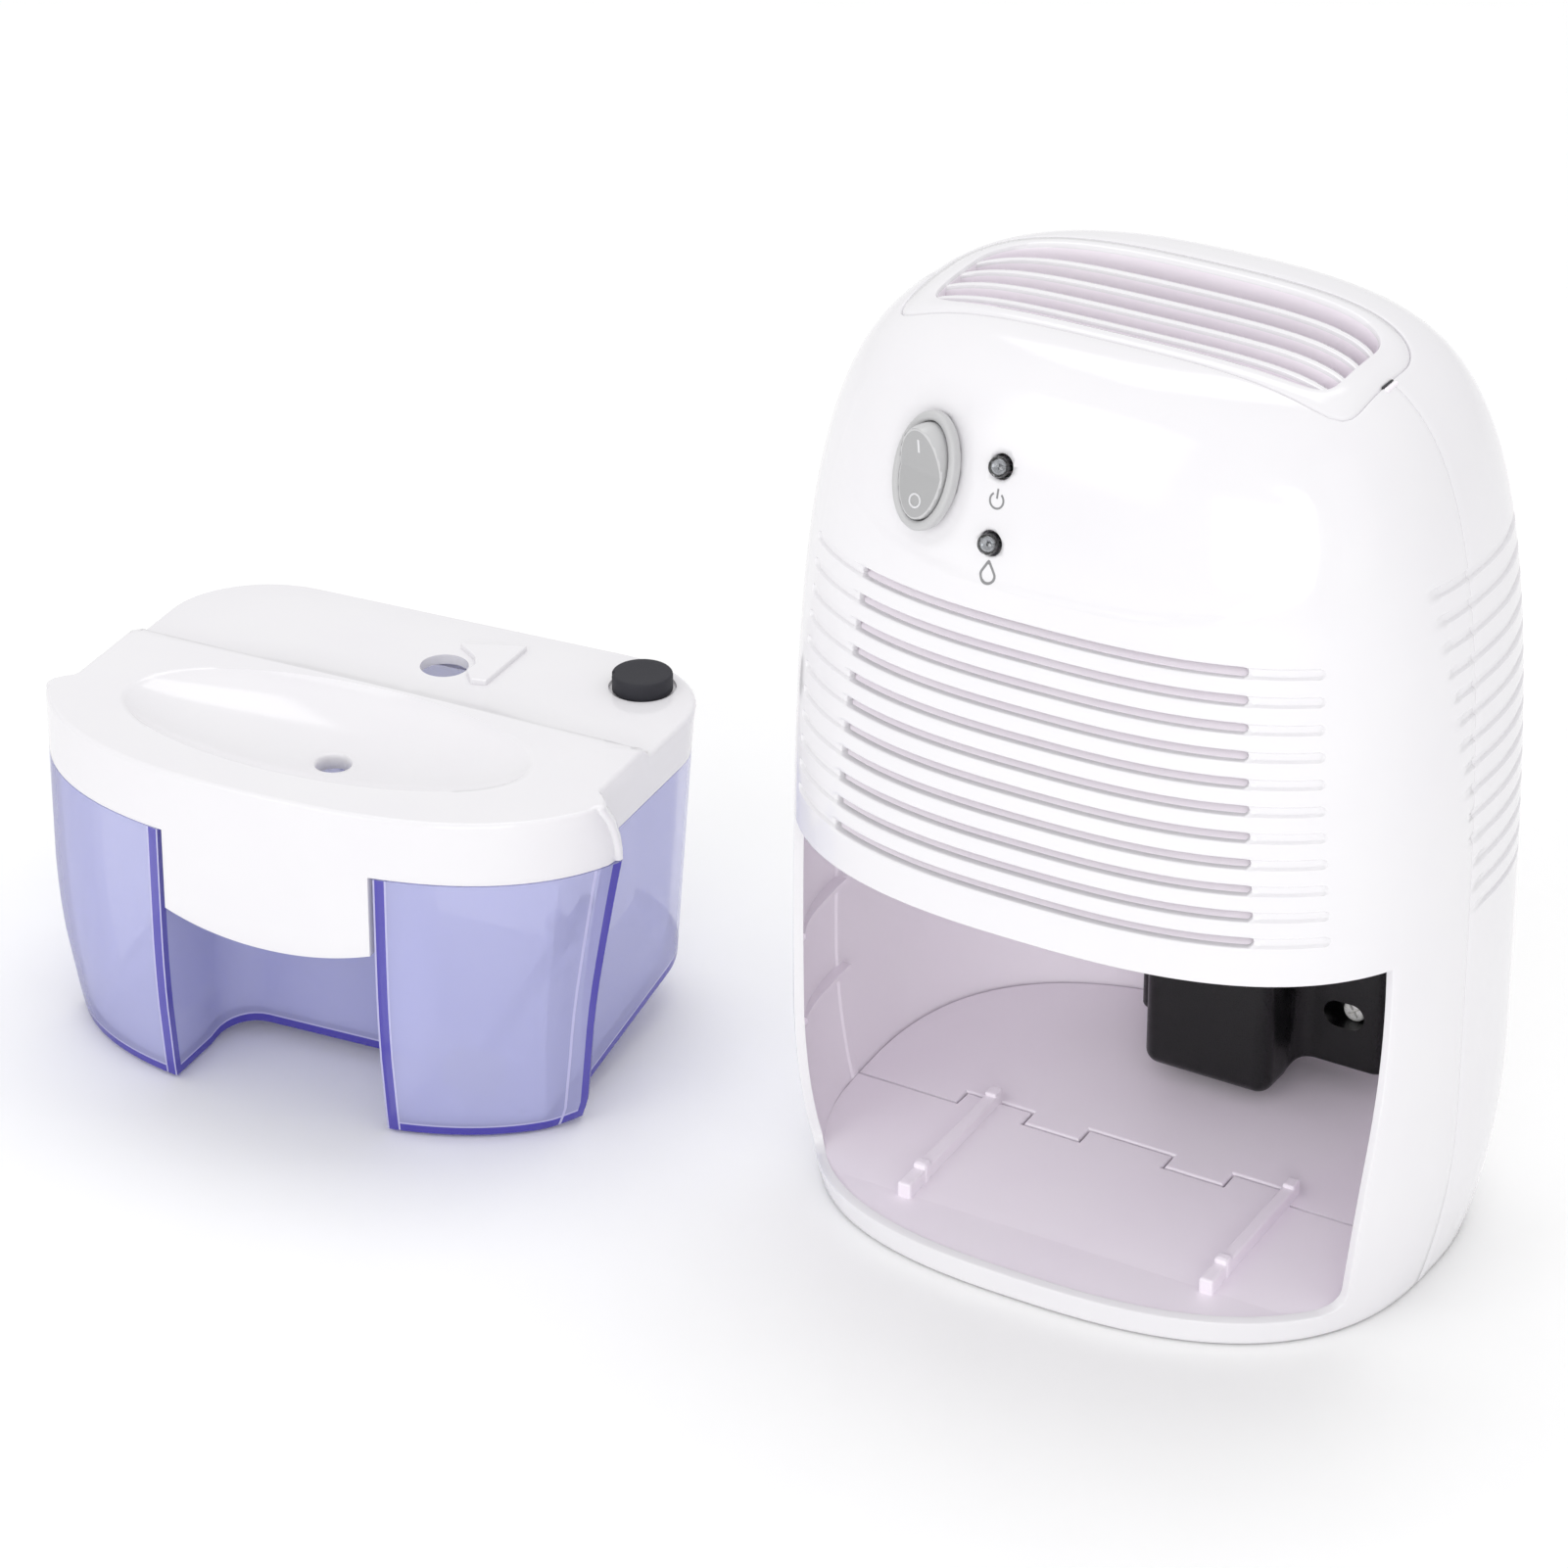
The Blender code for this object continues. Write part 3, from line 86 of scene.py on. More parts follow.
# Louvres: slots in the middle of longer grooves
SLOT_COUNT = 11
SLOT_PITCH = 0.0060
SLOT_TOP = 0.1613
SLOT_HALF_HEIGHT = 0.0012
SLOT_HALF_TOP = 0.0456
SLOT_HALF_LOW = 0.0506
GROOVE_RIGHT = (0.0592, 0.0639)         # at the top and at the bottom
GROOVE_LEFT = (0.0620, 0.0655)
GROOVE_DEPTH = 0.0007
REAR_SLOT_COUNT = 14
REAR_SLOT_TOP = 0.1720
REAR_SLOT_HALF = 0.0440
SIDE_GROOVE_Y = (-0.018, -0.001)        # front ends of the side grooves, at the top and at the bottom
VANE_DEPTH = 0.0026
VANE_RISE = 0.0020

# The shells' meshes, and what is cut in them
GROOVE_WALL = 0.00045       # width of a groove's sloping wall
# rows across one louvre, mm from its middle
PATTERN = (-3.0, -2.1, -1.2, -0.75, 0.0, 0.75, 1.2, 2.1)
SIDE_SHIFT = 0.0013         # the side grooves lie this much lower than the front slots
PATTERN_TOP = SLOT_TOP + 2 * SLOT_PITCH
PATTERN_COUNT = REAR_SLOT_COUNT
FRONT_FIRST = 2             # the first louvre of the pattern that the front has
MORPH_START = 0.1995        # above this the rows turn into the outline of the grille's seat
MORPH_ROWS = 10
MOUTH_ROUND = 0.004
EDGE_ROUND = 0.0003
WELL_RADIUS = 0.0031
WELL_WALL = 0.0009
SCREW_HOLE = 0.0018

# Top grille
GRILLE_HALF = 0.0530
GRILLE_FRONT = 0.0253
GRILLE_REAR = 0.0208
GRILLE_POWER = 10
GRILLE_RIM_END = 0.0067
GRILLE_RIM = 0.0042
GRILLE_GAP = 0.0003
SLAT_SHARES = (0.118, 0.321, 0.543, 0.778)

# Control panel
SWITCH_X = -0.0303
SWITCH_Z = 0.1876
SWITCH_HALF = (0.0081, 0.0127)
SWITCH_RIM = 0.0021
SWITCH_PROUD = 0.0016
ROCKER_ANGLE = math.radians(11)
LED_X = -0.0128
LED_ZS = {"led_power": 0.1929, "led_full": 0.1772}
LED_RADIUS = 0.0025
MARK_X = -0.0126
PANEL_CENTRE = (-0.0005, 0.1868)
PANEL_HALF = (0.0556, 0.0180)
PANEL_POWER = 2.6
PANEL_STEP = 0.0004
RING_WIDTH = 0.0030                     # the dished ring round the switch
RING_DEPTH = 0.0007
ROCKER_CROWN = 0.0012
LED_GAP = 0.0003

# Black cover in the bay
COVER_X = (-0.0134, 0.0184)
COVER_EARS_X = (-0.0218, 0.0400)
COVER_FRONT = 0.0230
COVER_EARS_FRONT = 0.0375
COVER_BACK = 0.0475
COVER_Z = (0.0152, 0.0580)
COVER_EARS_Z = (0.0200, 0.0500)
COVER_ROUND = 0.0038
COVER_SLOT = (0.0050, 0.0032)
COVER_SCREW_SHIFT = (-0.0008, -0.0018, -0.0005)  # its drawn head, from the place of the screw

# Tank
TANK_RAISE = 0.0062
WING = (0.0668, 0.1045)                 # half width at the foot, and how it grows upward
SIDE = (0.0614, 0.0761)                 # the same for the sides behind the wings
WING_LEAN = 0.0021                      # the lid leans in by this much at its wings
WING_TUCK = 0.0018                      # and the wings' feet by this much
TANK_HEIGHT = 0.0822
TANK_REAR = 0.0420
TANK_WALL = 0.0020
TANK_BEND_Y = -0.040
TANK_BEND_SLOPE = 0.18
SKIRT = 0.0152
# the bright lines are painted highlights, and the edge a deep tint of painted shade
FRONT_STEPS = (0.0, 0.0004, 0.0026, 0.0030)     # from the recess: bright line, edge and bright line
WING_STEPS = (0.0034, 0.0030, 0.0010, 0.0)      # the same before the wing's tip
# Columns of the reservoir's outline that take painted tone: 1 its edge, a deep tint of painted shade; 2
# its bright line, a painted highlight
PAINTED_TONE_COLUMNS = {23: 1, 24: 2, 25: 1, 26: 2, 53: 2, 55: 1, 56: 1, 57: 1, 58: 1, 59: 2}
FOOT_ROUND = 0.0007
ALCOVE_X = (-0.0240, 0.0422)            # room in the tank's rear for the black cover
ALCOVE_FRONT = 0.0218
ALCOVE_HEAD = 0.0535
GUIDE_HALF = 0.0021                     # grooves in the underside, over the bay's rails
GUIDE_FRONT = -0.0426
GUIDE_HEAD = 0.0040
LUG_X = 0.0425                          # the two lugs that hold the float's pin
LUG_SPREAD = 0.0042
LID_WALL = 0.0024
TOP_ROUND = 0.0011
BOWL_LIFT = 0.003           # of the bowl's centre over the lid's top
LID_FLOOR = 0.0018
LID_CORNER = 0.0014                     # where its front meets its side over a wing
DRAIN_FLARE = 0.0046                    # radius at which the basin turns down into its drain
DECK_DROP = 0.0029
STEP_LINE = (-0.0017, -0.033)           # where the lid's raised front part ends, and its slant
TONGUE_LOW = 0.0470
TONGUE_HALF = 0.0263
TONGUE_SAG = 0.0038         # its lower edge is this much lower in the middle
RECESS_HALF = 0.0275
RECESS_REAR = -0.0285
RECESS_ROUND = 0.009
BASIN_HALF = (0.0512, 0.0230)
BASIN_Y = -0.0262
BASIN_SHIFT = (-0.0022, 0.0004)         # from the drain hole to the middle of the basin's rim
BASIN_DEPTH = 0.0085
DRIP_RADIUS = 0.0040
VENT_PLACE = (0.0050, 0.0185)
VENT_RADIUS = 0.0057
PLUG_PLACE = (0.0513, 0.0285)
PLUG_RADIUS = 0.0071

TANK = Matrix.Translation((-0.1901, -0.01705, 0)) @ Matrix.Rotation(math.radians(6.26), 4, "Z")


# ---------------------------------------------------------------- materials

def linear(code):
    """An sRGB hex colour as linear values."""
    parts = [int(code[i:i + 2], 16) / 255 for i in (1, 3, 5)]
    return tuple(p / 12.92 if p <= 0.04045 else ((p + 0.055) / 1.055) ** 2.4 for p in parts) + (1.0,)


def node(tree, kind, links=None, **settings):
    """Adds a node, with its settings by name, its values by socket name, and its links."""
    made = tree.nodes.new(kind)
    for name, value in settings.items():
        if name == "values":
            for socket, number in value.items():
                made.inputs[socket].default_value = number
        else:
            setattr(made, name, value)
    for socket, source in (links or {}).items():
        tree.links.new(source, made.inputs[socket])
    return made


def surface(name, colour, roughness, grain_mm, relief, shade=None, spread=0.05, **sockets):
    """A material whose tone, gloss and relief vary with noise of a real grain size.

    relief is the height of the grain in metres, shade the darker tone that it wanders to, and
    spread how far the roughness wanders.
    """
    made = bpy.data.materials.new(name)
    made.use_nodes = True
    tree = made.node_tree
    shader = tree.nodes["Principled BSDF"]
    where = node(tree, "ShaderNodeTexCoord").outputs["Object"]
    fine = node(tree, "ShaderNodeTexNoise", {"Vector": where},
                values={"Scale": 1 / (grain_mm * MM), "Detail": 3.0, "Roughness": 0.6})
    broad = node(tree, "ShaderNodeTexNoise", {"Vector": where}, values={"Scale": 40.0, "Detail": 2.0})
    tone = node(tree, "ShaderNodeMix", {"Factor": broad.outputs["Fac"]}, data_type="RGBA")
    tone.inputs["A"].default_value = linear(colour)
    tone.inputs["B"].default_value = linear(shade or colour)
    tree.links.new(tone.outputs["Result"], shader.inputs["Base Color"])
    gloss = node(tree, "ShaderNodeMapRange", {"Value": fine.outputs["Fac"]},
                 values={"To Min": max(roughness - spread, 0.0), "To Max": roughness + spread})
    tree.links.new(gloss.outputs["Result"], shader.inputs["Roughness"])
    bump = node(tree, "ShaderNodeBump", {"Height": fine.outputs["Fac"]},
                values={"Strength": 1.0, "Distance": relief})
    tree.links.new(bump.outputs["Normal"], shader.inputs["Normal"])
    for socket, value in sockets.items():
        shader.inputs[socket.replace("_", " ")].default_value = value
    return made


# polished tool, so a hard even gloss with only a trace of orange peel
WHITE = surface("white_abs_moulded", "#EDECEE", 0.13, 6.0, 0.000012, "#E9E7EB", IOR=1.53)
# the same moulding inside, where the tool was left satin; painted shade and light: a lilac cast, lighter
# than the outside
INSIDE_PAINTED_SHADE_AND_LIGHT = surface("white_abs_satin_inside_painted_shade_and_light", "#FCF6FD", 0.42, 0.5, 0.00001, "#F8EFFA", IOR=1.53)
# louvre vanes and grille slats, less polished than the outside; painted light and shade: lilac-white,
# lighter than the outside
VANE = surface("white_abs_vane_painted_light_and_shade", "#FFF9FF", 0.35, 0.5, 0.00001, "#FBF3FC", IOR=1.53)
# etched tool: a fine even grain that breaks the highlights
BLACK = surface("black_abs_etched", "#0C0C0D", 0.28, 0.25, 0.00002, "#111112", IOR=1.40)
# pressed rubber: matt, with a trace of bloom
RUBBER = surface("black_rubber_moulded", "#232329", 0.72, 0.3, 0.00004, "#2C2C34", IOR=1.5)
BEZEL = surface("grey_nylon_bezel", "#C6C6C7", 0.38, 0.3, 0.000015, "#BFBFC0", IOR=1.53)
ROCKER = surface("grey_abs_rocker", "#ADADAE", 0.33, 0.3, 0.000012, "#A8A8A9", IOR=1.53)
# the rocker's sides: the same grey ABS painted lighter, painted light where the sides catch the lamps
ROCKER_SIDE_PAINTED_LIGHT = surface("grey_abs_rocker_side_painted_light", "#CBCBCC", 0.3, 0.3, 0.00001, "#C4C4C5", IOR=1.53)
PRINT = surface("grey_pad_print", "#8E8E90", 0.5, 0.2, 0.000005, "#858587", IOR=1.5)
PALE_PRINT = surface("pale_pad_print", "#E4E4E6", 0.5, 0.2, 0.000005, "#DADADC", IOR=1.5)
# injection-moulded polystyrene: gloss outside and frosted windows; in the edges a deep tint of painted
# shade, with lines of painted highlight
WINDOW = surface("tinted_styrene_window", "#D0D2FA", 0.20, 0.5, 0.00001, "#C9CBF8",
                 IOR=1.59, Alpha=0.47)
EDGE = surface("tinted_styrene_edge_painted_shade", "#5148B4", 0.12, 2.0, 0.00001, "#473EA8", IOR=1.59, Alpha=0.80)
LINE = surface("tinted_styrene_painted_highlight_line", "#CFCDF1", 0.15, 2.0, 0.00001, "#CBC9F0",
               IOR=1.59, Alpha=0.75)
# the float's arm: painted shade, dark and opaque, so that it reads as a shadow through the window
ARM_PAINTED_SHADE = surface("tinted_styrene_arm_painted_shade", "#3F3C8E", 0.3, 0.5, 0.00001, "#383583", IOR=1.59)
ZINC = surface("zinc_plated_steel", "#C9C9C4", 0.30, 0.3, 0.00002, "#B4B4AC", spread=0.12, Metallic=1.0)
ALUMINIUM = surface("extruded_aluminium", "#C8CACC", 0.38, 0.4, 0.00003, "#B9BBBE", spread=0.1,
                    Metallic=1.0)
CERAMIC = surface("white_alumina", "#EDEDE8", 0.55, 0.2, 0.00002, "#E4E4DE", IOR=1.77)
BOARD = surface("green_solder_mask", "#14532B", 0.35, 0.6, 0.00002, "#0F4322", IOR=1.5)
SHEATH = surface("red_pvc_sheath", "#8E1B1B", 0.45, 0.5, 0.00002, "#7A1616", IOR=1.53)
FOAM = surface("grey_closed_cell_foam", "#77777F", 0.9, 0.6, 0.0001, "#66666E", IOR=1.45)
EPOXY = surface("clear_cast_epoxy", "#EEF0EE", 0.03, 3.0, 0.000002, "#EEF0EE", spread=0.01,
                IOR=1.54, Transmission_Weight=1.0)
# screw heads: near white and only a little metallic, a painted reflection standing in for the bright
# glints of the plated heads
SCREW = surface("zinc_plate_painted_bright", "#FAFAF8", 0.28, 0.3, 0.00002, "#DCDCD8", spread=0.1,
                Metallic=0.2)
SILVER = surface("silvered_reflector", "#B9BAC0", 0.25, 0.3, 0.00002, "#8C8D93", Metallic=1.0)
# dark metal of the indicators' lead frames; the same dark also stands as painted shadow in the grille
# latch's slit
DARK_LEAD_AND_PAINTED_SHADOW = surface("dark_lead_frame_and_painted_shadow", "#3A3A3E", 0.5, 0.3, 0.00002, "#2A2A2E", Metallic=0.4)


# ---------------------------------------------------------------- the barrel's formula

def swell(z, profile):
    base, power, root = profile
    if z < BELLY:
        return 1 - (1 - base) * ((BELLY - z) / BELLY) ** 2
    rise = min((z - BELLY) / (HEIGHT - BELLY), 1)
    return (1 - rise ** power) ** (1 / root)


def half_width(z):
    return WIDTH / 2 * swell(z, SIDE_PROFILE)


def half_depth(z):
    return DEPTH / 2 * swell(z, END_PROFILE)


def front_y(x, z):
    share = min(abs(x) / half_width(z), 1)
    return -half_depth(z) * (1 - share ** SECTION_POWER) ** (1 / SECTION_POWER)


def side_x(y, z):
    share = min(abs(y) / half_depth(z), 1)
    return half_width(z) * (1 - share ** SECTION_POWER) ** (1 / SECTION_POWER)


def dome_z(x, y):
    """Height of the barrel's upper surface over a point."""
    low, high = BELLY, HEIGHT
    for _ in range(40):
        z = (low + high) / 2
        wide, deep = half_width(z), half_depth(z)
        reach = (abs(x) / max(wide, 1e-9)) ** SECTION_POWER + (abs(y) / max(deep, 1e-9)) ** SECTION_POWER
        if reach < 1:
            low = z
        else:
            high = z
    return (low + high) / 2


def smooth(value, start, end):
    share = min(max((value - start) / (end - start), 0), 1)
    return share * share * (3 - 2 * share)


def mix(a, b, share):
    return a + (b - a) * share


def signed_power(value, power):
    return math.copysign(abs(value) ** power, value)


# ---------------------------------------------------------------- mesh tools

def lattice(columns, rows, place, around=False, across=False):
    """Grid whose points are put in place by column and row, and its points by column and row.

    around closes it column to column, across row to row.
    """
    bm = bmesh.new()
    bmesh.ops.create_grid(bm, x_segments=columns, y_segments=rows, size=0.5)
    column = bm.verts.layers.int.new("column")
    row = bm.verts.layers.int.new("row")
    for vert in bm.verts:
        i = round((vert.co.x + 0.5) * columns)
        j = round((vert.co.y + 0.5) * rows)
        vert[column] = i
        vert[row] = j
        vert.co = place(i % columns if around else i, j % rows if across else j)
    for face in bm.faces:
        face.smooth = True
    return bm


def cell(bm, face):
    """Column and row of a grid's face."""
    column = bm.verts.layers.int["column"]
    row = bm.verts.layers.int["row"]
    return min(v[column] for v in face.verts), min(v[row] for v in face.verts)


def drop(bm, test):
    """Deletes the grid faces that a test of column and row picks."""
    gone = [face for face in bm.faces if test(*cell(bm, face))]
    bmesh.ops.delete(bm, geom=gone, context="FACES")


def tidy(bm):
    bmesh.ops.remove_doubles(bm, verts=bm.verts, dist=1e-6)
    bmesh.ops.dissolve_degenerate(bm, edges=bm.edges, dist=1e-7)


def close(bm):
    """Welds a grid's points, caps its open ends and turns its faces outward."""
    tidy(bm)
    bmesh.ops.holes_fill(bm, edges=bm.edges)
    face_out(bm)


def face_out(bm):
    """Turns a closed mesh's faces outward."""
    bmesh.ops.recalc_face_normals(bm, faces=bm.faces)


def crease(thing, degrees):
    """Keeps a finished piece's edges sharp where its faces meet at more than an angle."""
    thing.data.set_sharp_from_angle(angle=math.radians(degrees))


def shade(bm, smooth_faces):
    for face in bm.faces:
        face.smooth = smooth_faces


def add_mesh(bm, part):
    """Adds one bmesh to another, and frees it."""
    mesh = bpy.data.meshes.new("part")
    part.to_mesh(mesh)
    part.free()
    bm.from_mesh(mesh)
    bpy.data.meshes.remove(mesh)


def as_mesh(bm):
    """A mesh for a cutter, from a bmesh that is then freed."""
    mesh = bpy.data.meshes.new("tool")
    bm.to_mesh(mesh)
    bm.free()
    return mesh


def piece(name, bm, materials, body, place=None, stands_for=()):
    """Makes a bmesh a finished piece that rides on a body."""
    mesh = bpy.data.meshes.new(name)
    bm.to_mesh(mesh)
    bm.free()
    if place:
        mesh.transform(place)
    for material in materials:
        mesh.materials.append(material)
    made = bpy.data.objects.new(name, mesh)
    bpy.context.scene.collection.objects.link(made)
    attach(made, body)
    if stands_for:
        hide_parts(*stands_for)
    return made


def settle(thing):
    """Applies a piece's modifiers."""
    view = bpy.context.evaluated_depsgraph_get()
    old = thing.data
    thing.data = bpy.data.meshes.new_from_object(thing.evaluated_get(view))
    thing.modifiers.clear()
    bpy.data.meshes.remove(old)


def cut(thing, cutter_mesh):
    """Cuts a closed mesh out of a piece."""
    tool = bpy.data.objects.new("tool", cutter_mesh)
    bpy.context.scene.collection.objects.link(tool)
    made = thing.modifiers.new("cut", "BOOLEAN")
    made.operation = "DIFFERENCE"
    made.solver = "EXACT"
    made.object = tool
    settle(thing)
    bpy.data.objects.remove(tool, do_unlink=True)


def block(bm, low, high, edge=0.0, segments=2):
    """Adds a box with rounded edges to a bmesh."""
    made = bmesh.ops.create_cube(bm, size=1)
    size = [b - a for a, b in zip(low, high)]
    middle = Vector([(a + b) / 2 for a, b in zip(low, high)])
    bmesh.ops.scale(bm, vec=size, verts=made["verts"])
    bmesh.ops.translate(bm, vec=middle, verts=made["verts"])
    if edge:
        edges = list(dict.fromkeys(e for v in made["verts"] for e in v.link_edges))
        bmesh.ops.bevel(bm, geom=edges, offset=edge, segments=segments, profile=0.5,
                        affect="EDGES", material=-1, clamp_overlap=True)
    return bm


def slab(low, high, edge=0.0):
    bm = bmesh.new()
    block(bm, low, high, edge)
    return as_mesh(bm)


def lathe(profile, count=48):
    """Turned piece about Z: its profile of radius and height runs from top to bottom."""
    rows = len(profile) - 1
    bm = lattice(count, rows, lambda i, j: Vector((
        profile[rows - j][0] * math.cos(math.tau * i / count),
        profile[rows - j][0] * math.sin(math.tau * i / count),
        profile[rows - j][1])), around=True)
    tidy(bm)
    return bm


def arc(centre_r, centre_z, radius, start, end, steps=5):
    """Points of a round edge in a turned profile; angles from +r towards +z, in degrees."""
    points = []
    for k in range(steps + 1):
        a = math.radians(mix(start, end, k / steps))
        points.append((centre_r + radius * math.cos(a), centre_z + radius * math.sin(a)))
    return points


def end_on(x, y, z, way):
    """Place whose own Z points along Y: way 1 out of the front, -1 out of the rear."""
    return Matrix.Translation((x, y, z)) @ Matrix.Rotation(way * math.pi / 2, 4, "X")


def surface_frame(x, z):
    """Place and axes on the barrel's front: right, up along the surface, out of it."""
    step = 0.001
    here = Vector((x, front_y(x, z), z))
    across = Vector((2 * step, front_y(x + step, z) - front_y(x - step, z), 0)).normalized()
    upward = Vector((0, front_y(x, z + step) - front_y(x, z - step), 2 * step))
    out = across.cross(upward).normalized()
    up = out.cross(across).normalized()
    matrix = Matrix((across, up, out)).transposed().to_4x4()
    matrix.translation = here
    return matrix


# ---------------------------------------------------------------- housing shells

def even(start, end, count):
    """Values after start up to end, evenly spaced."""
    return [mix(start, end, (k + 1) / count) for k in range(count)]


def level_rows():
    """Levels of the shell's rows, each with the louvre that it belongs to and its place across it."""
    rows = [(0.0, None, 0.0)]
    low = even(0.0, FLOOR_FRONT, 4)
    low += [FLOOR_FRONT + step * MM for step in (0.5, 1.2, 2.4, 4.0)]
    low += even(FLOOR_FRONT + 0.004, MOUTH_TOP - 0.001, 26) + [MOUTH_TOP]
    bottom = PATTERN_TOP - (PATTERN_COUNT - 1) * SLOT_PITCH
    low += even(MOUTH_TOP, bottom + PATTERN[0] * MM, 3)[:-1]
    rows += [(z, None, 0.0) for z in low]
    for k in reversed(range(PATTERN_COUNT)):
        rows += [(PATTERN_TOP - k * SLOT_PITCH + dz * MM, k, dz * MM) for dz in PATTERN]
    last = PATTERN_TOP - PATTERN[0] * MM
    rows += [(z, None, 0.0) for z in [last] + even(last, MORPH_START, 16)]
    return rows


ROWS = level_rows()
LEVELS = len(ROWS) - 1
PATTERN_LOW = next(z for z, k, dz in ROWS if k is not None)


def has_front_slot(louvre):
    """Whether a louvre of the pattern is one that the front has."""
    return louvre is not None and FRONT_FIRST <= louvre < FRONT_FIRST + SLOT_COUNT


def in_slot(dz):
    """Whether the row that starts at this place across a louvre is in its slot."""
    return -SLOT_HALF_HEIGHT - 1e-5 <= dz < SLOT_HALF_HEIGHT - 1e-5


def turn_of(x, z):
    """Angle parameter of the section's point with this x; zero at the middle."""
    share = min(abs(x) / half_width(z), 1)
    return math.copysign(math.asin(share ** (SECTION_POWER / 2)), x)


def turn_at_seam(z, side):
    """Angle parameter of the seam, which lies in front of the widest place."""
    ahead = math.acos((abs(SEAM_Y) / half_depth(z)) ** (SECTION_POWER / 2))
    return ahead if side < 0 else math.pi - ahead


def section_point(turn, z, side):
    """Point of a section: side -1 for the front half, +1 for the rear half."""
    power = 2 / SECTION_POWER
    return Vector((half_width(z) * signed_power(math.sin(turn), power),
                   side * half_depth(z) * signed_power(math.cos(turn), power), z))


def outward(point):
    """Direction out of the barrel's surface."""
    x, y, z = point
    wide, deep = half_width(z), half_depth(z)

    def level(px, py, pz):
        return ((abs(px) / half_width(pz)) ** SECTION_POWER
                + (abs(py) / half_depth(pz)) ** SECTION_POWER)

    step = 0.00005
    return Vector((
        SECTION_POWER * signed_power(x / wide, SECTION_POWER - 1) / wide,
        SECTION_POWER * signed_power(y / deep, SECTION_POWER - 1) / deep,
        (level(x, y, z + step) - level(x, y, z - step)) / (2 * step))).normalized()


def end_inset(dz, radius):
    """How far a round end falls back at a distance from its middle line."""
    return radius - math.sqrt(max(radius ** 2 - dz ** 2, 0))


def mouth_half(z, side=-1):
    """Half width of the bay's mouth on one side, with round lower corners, carried on above it."""
    share = (min(z, MOUTH_TOP) - FLOOR_FRONT) / (MOUTH_TOP - FLOOR_FRONT)
    half = mix(MOUTH_HALF_LOW, MOUTH_HALF_TOP, max(share, 0))
    if z > MOUTH_TOP:
        half *= half_width(z) / half_width(MOUTH_TOP)
    rise = max(MOUTH_ROUND - max(z - FLOOR_FRONT, 0), 0)
    bulge = 0
    if 0 < share < 1:
        bulge = (MOUTH_BULGE if side > 0 else MOUTH_SQUEEZE) * 4 * share * (1 - share)
    return half + bulge - end_inset(rise, MOUTH_ROUND) * 0.8


def louvre_share(z):
    """0 at the lowest front louvre, 1 at the highest."""
    bottom = SLOT_TOP - (SLOT_COUNT - 1) * SLOT_PITCH
    return min(max((z - bottom) / (SLOT_TOP - bottom), 0), 1)


def front_keys(z, dz):
    """Key places across the front at a level: groove, slot and mouth edges, left to right."""
    share = louvre_share(z)
    narrow = min(1, half_width(z) / half_width(SLOT_TOP))
    inset = end_inset(min(abs(dz), SLOT_HALF_HEIGHT), SLOT_HALF_HEIGHT) * 0.8
    slot = mix(SLOT_HALF_LOW, SLOT_HALF_TOP, share) * narrow - inset
    left = mix(GROOVE_LEFT[1], GROOVE_LEFT[0], share) * narrow - inset
    right = mix(GROOVE_RIGHT[1], GROOVE_RIGHT[0], share) * narrow - inset
    return (-mouth_half(z), -left, -left + GROOVE_WALL, -slot, slot, right - GROOVE_WALL, right,
            mouth_half(z, 1))


FRONT_SPANS = (13, 6, 1, 8, 56, 8, 1, 6, 13)      # columns between the keys, from seam to seam
FRONT_EDGES = [sum(FRONT_SPANS[:k]) for k in range(len(FRONT_SPANS) + 1)]
REAR_SPANS = (34, 56, 34)
REAR_EDGES = [sum(REAR_SPANS[:k]) for k in range(len(REAR_SPANS) + 1)]


def spread_turns(keys, spans, z, side):
    """Angle parameters of a row's columns: even in x in the middle span, even in angle elsewhere."""
    end = turn_at_seam(z, side)
    turns = [-end] + [turn_of(x, z) for x in keys] + [end]
    middle = spans.index(max(spans))
    found = [turns[0]]
    for k, count in enumerate(spans):
        if k == middle:
            found += [turn_of(x, z) for x in even(keys[k - 1], keys[k], count)]
        else:
            found += even(turns[k], turns[k + 1], count)
    return found


def seat_radius(direction):
    """Distance from the seam's middle to the grille seat's outline, along a direction in plan."""
    near, far = 0.0, GRILLE_HALF * 2
    for _ in range(40):
        reach = (near + far) / 2
        x, y = direction.x * reach, SEAM_Y + direction.y * reach
        deep, power = (GRILLE_FRONT, GRILLE_POWER) if y < 0 else (GRILLE_REAR, SECTION_POWER)
        grown = GRILLE_GAP
        inside = (abs(x) / (GRILLE_HALF + grown)) ** power + (abs(y) / (deep + grown)) ** power < 1
        near, far = (reach, far) if inside else (near, reach)
    return near


def panel_relief(x, z):
    """Depth of the control panel's field and of the dished ring round the switch."""
    px, pz = (x - PANEL_CENTRE[0]) / PANEL_HALF[0], (z - PANEL_CENTRE[1]) / PANEL_HALF[1]
    field = (abs(px) ** PANEL_POWER + abs(pz) ** PANEL_POWER) ** (1 / PANEL_POWER)
    depth = PANEL_STEP * (1 - smooth(field, 0.955, 1.03))
    ring = math.hypot((x - SWITCH_X) / (SWITCH_HALF[0] + RING_WIDTH),
                      (z - SWITCH_Z) / (SWITCH_HALF[1] + RING_WIDTH))
    return depth + RING_DEPTH * (1 - smooth(ring, 0.86, 1.03))


def side_groove_share(y, z):
    """1 in the grooves of the sides, which start along a slanting line."""
    share = (z - 0.094) / (REAR_SLOT_TOP - 0.094)
    start = mix(SIDE_GROOVE_Y[1], SIDE_GROOVE_Y[0], share)
    return smooth(y, start - 0.0010, start + 0.0006)


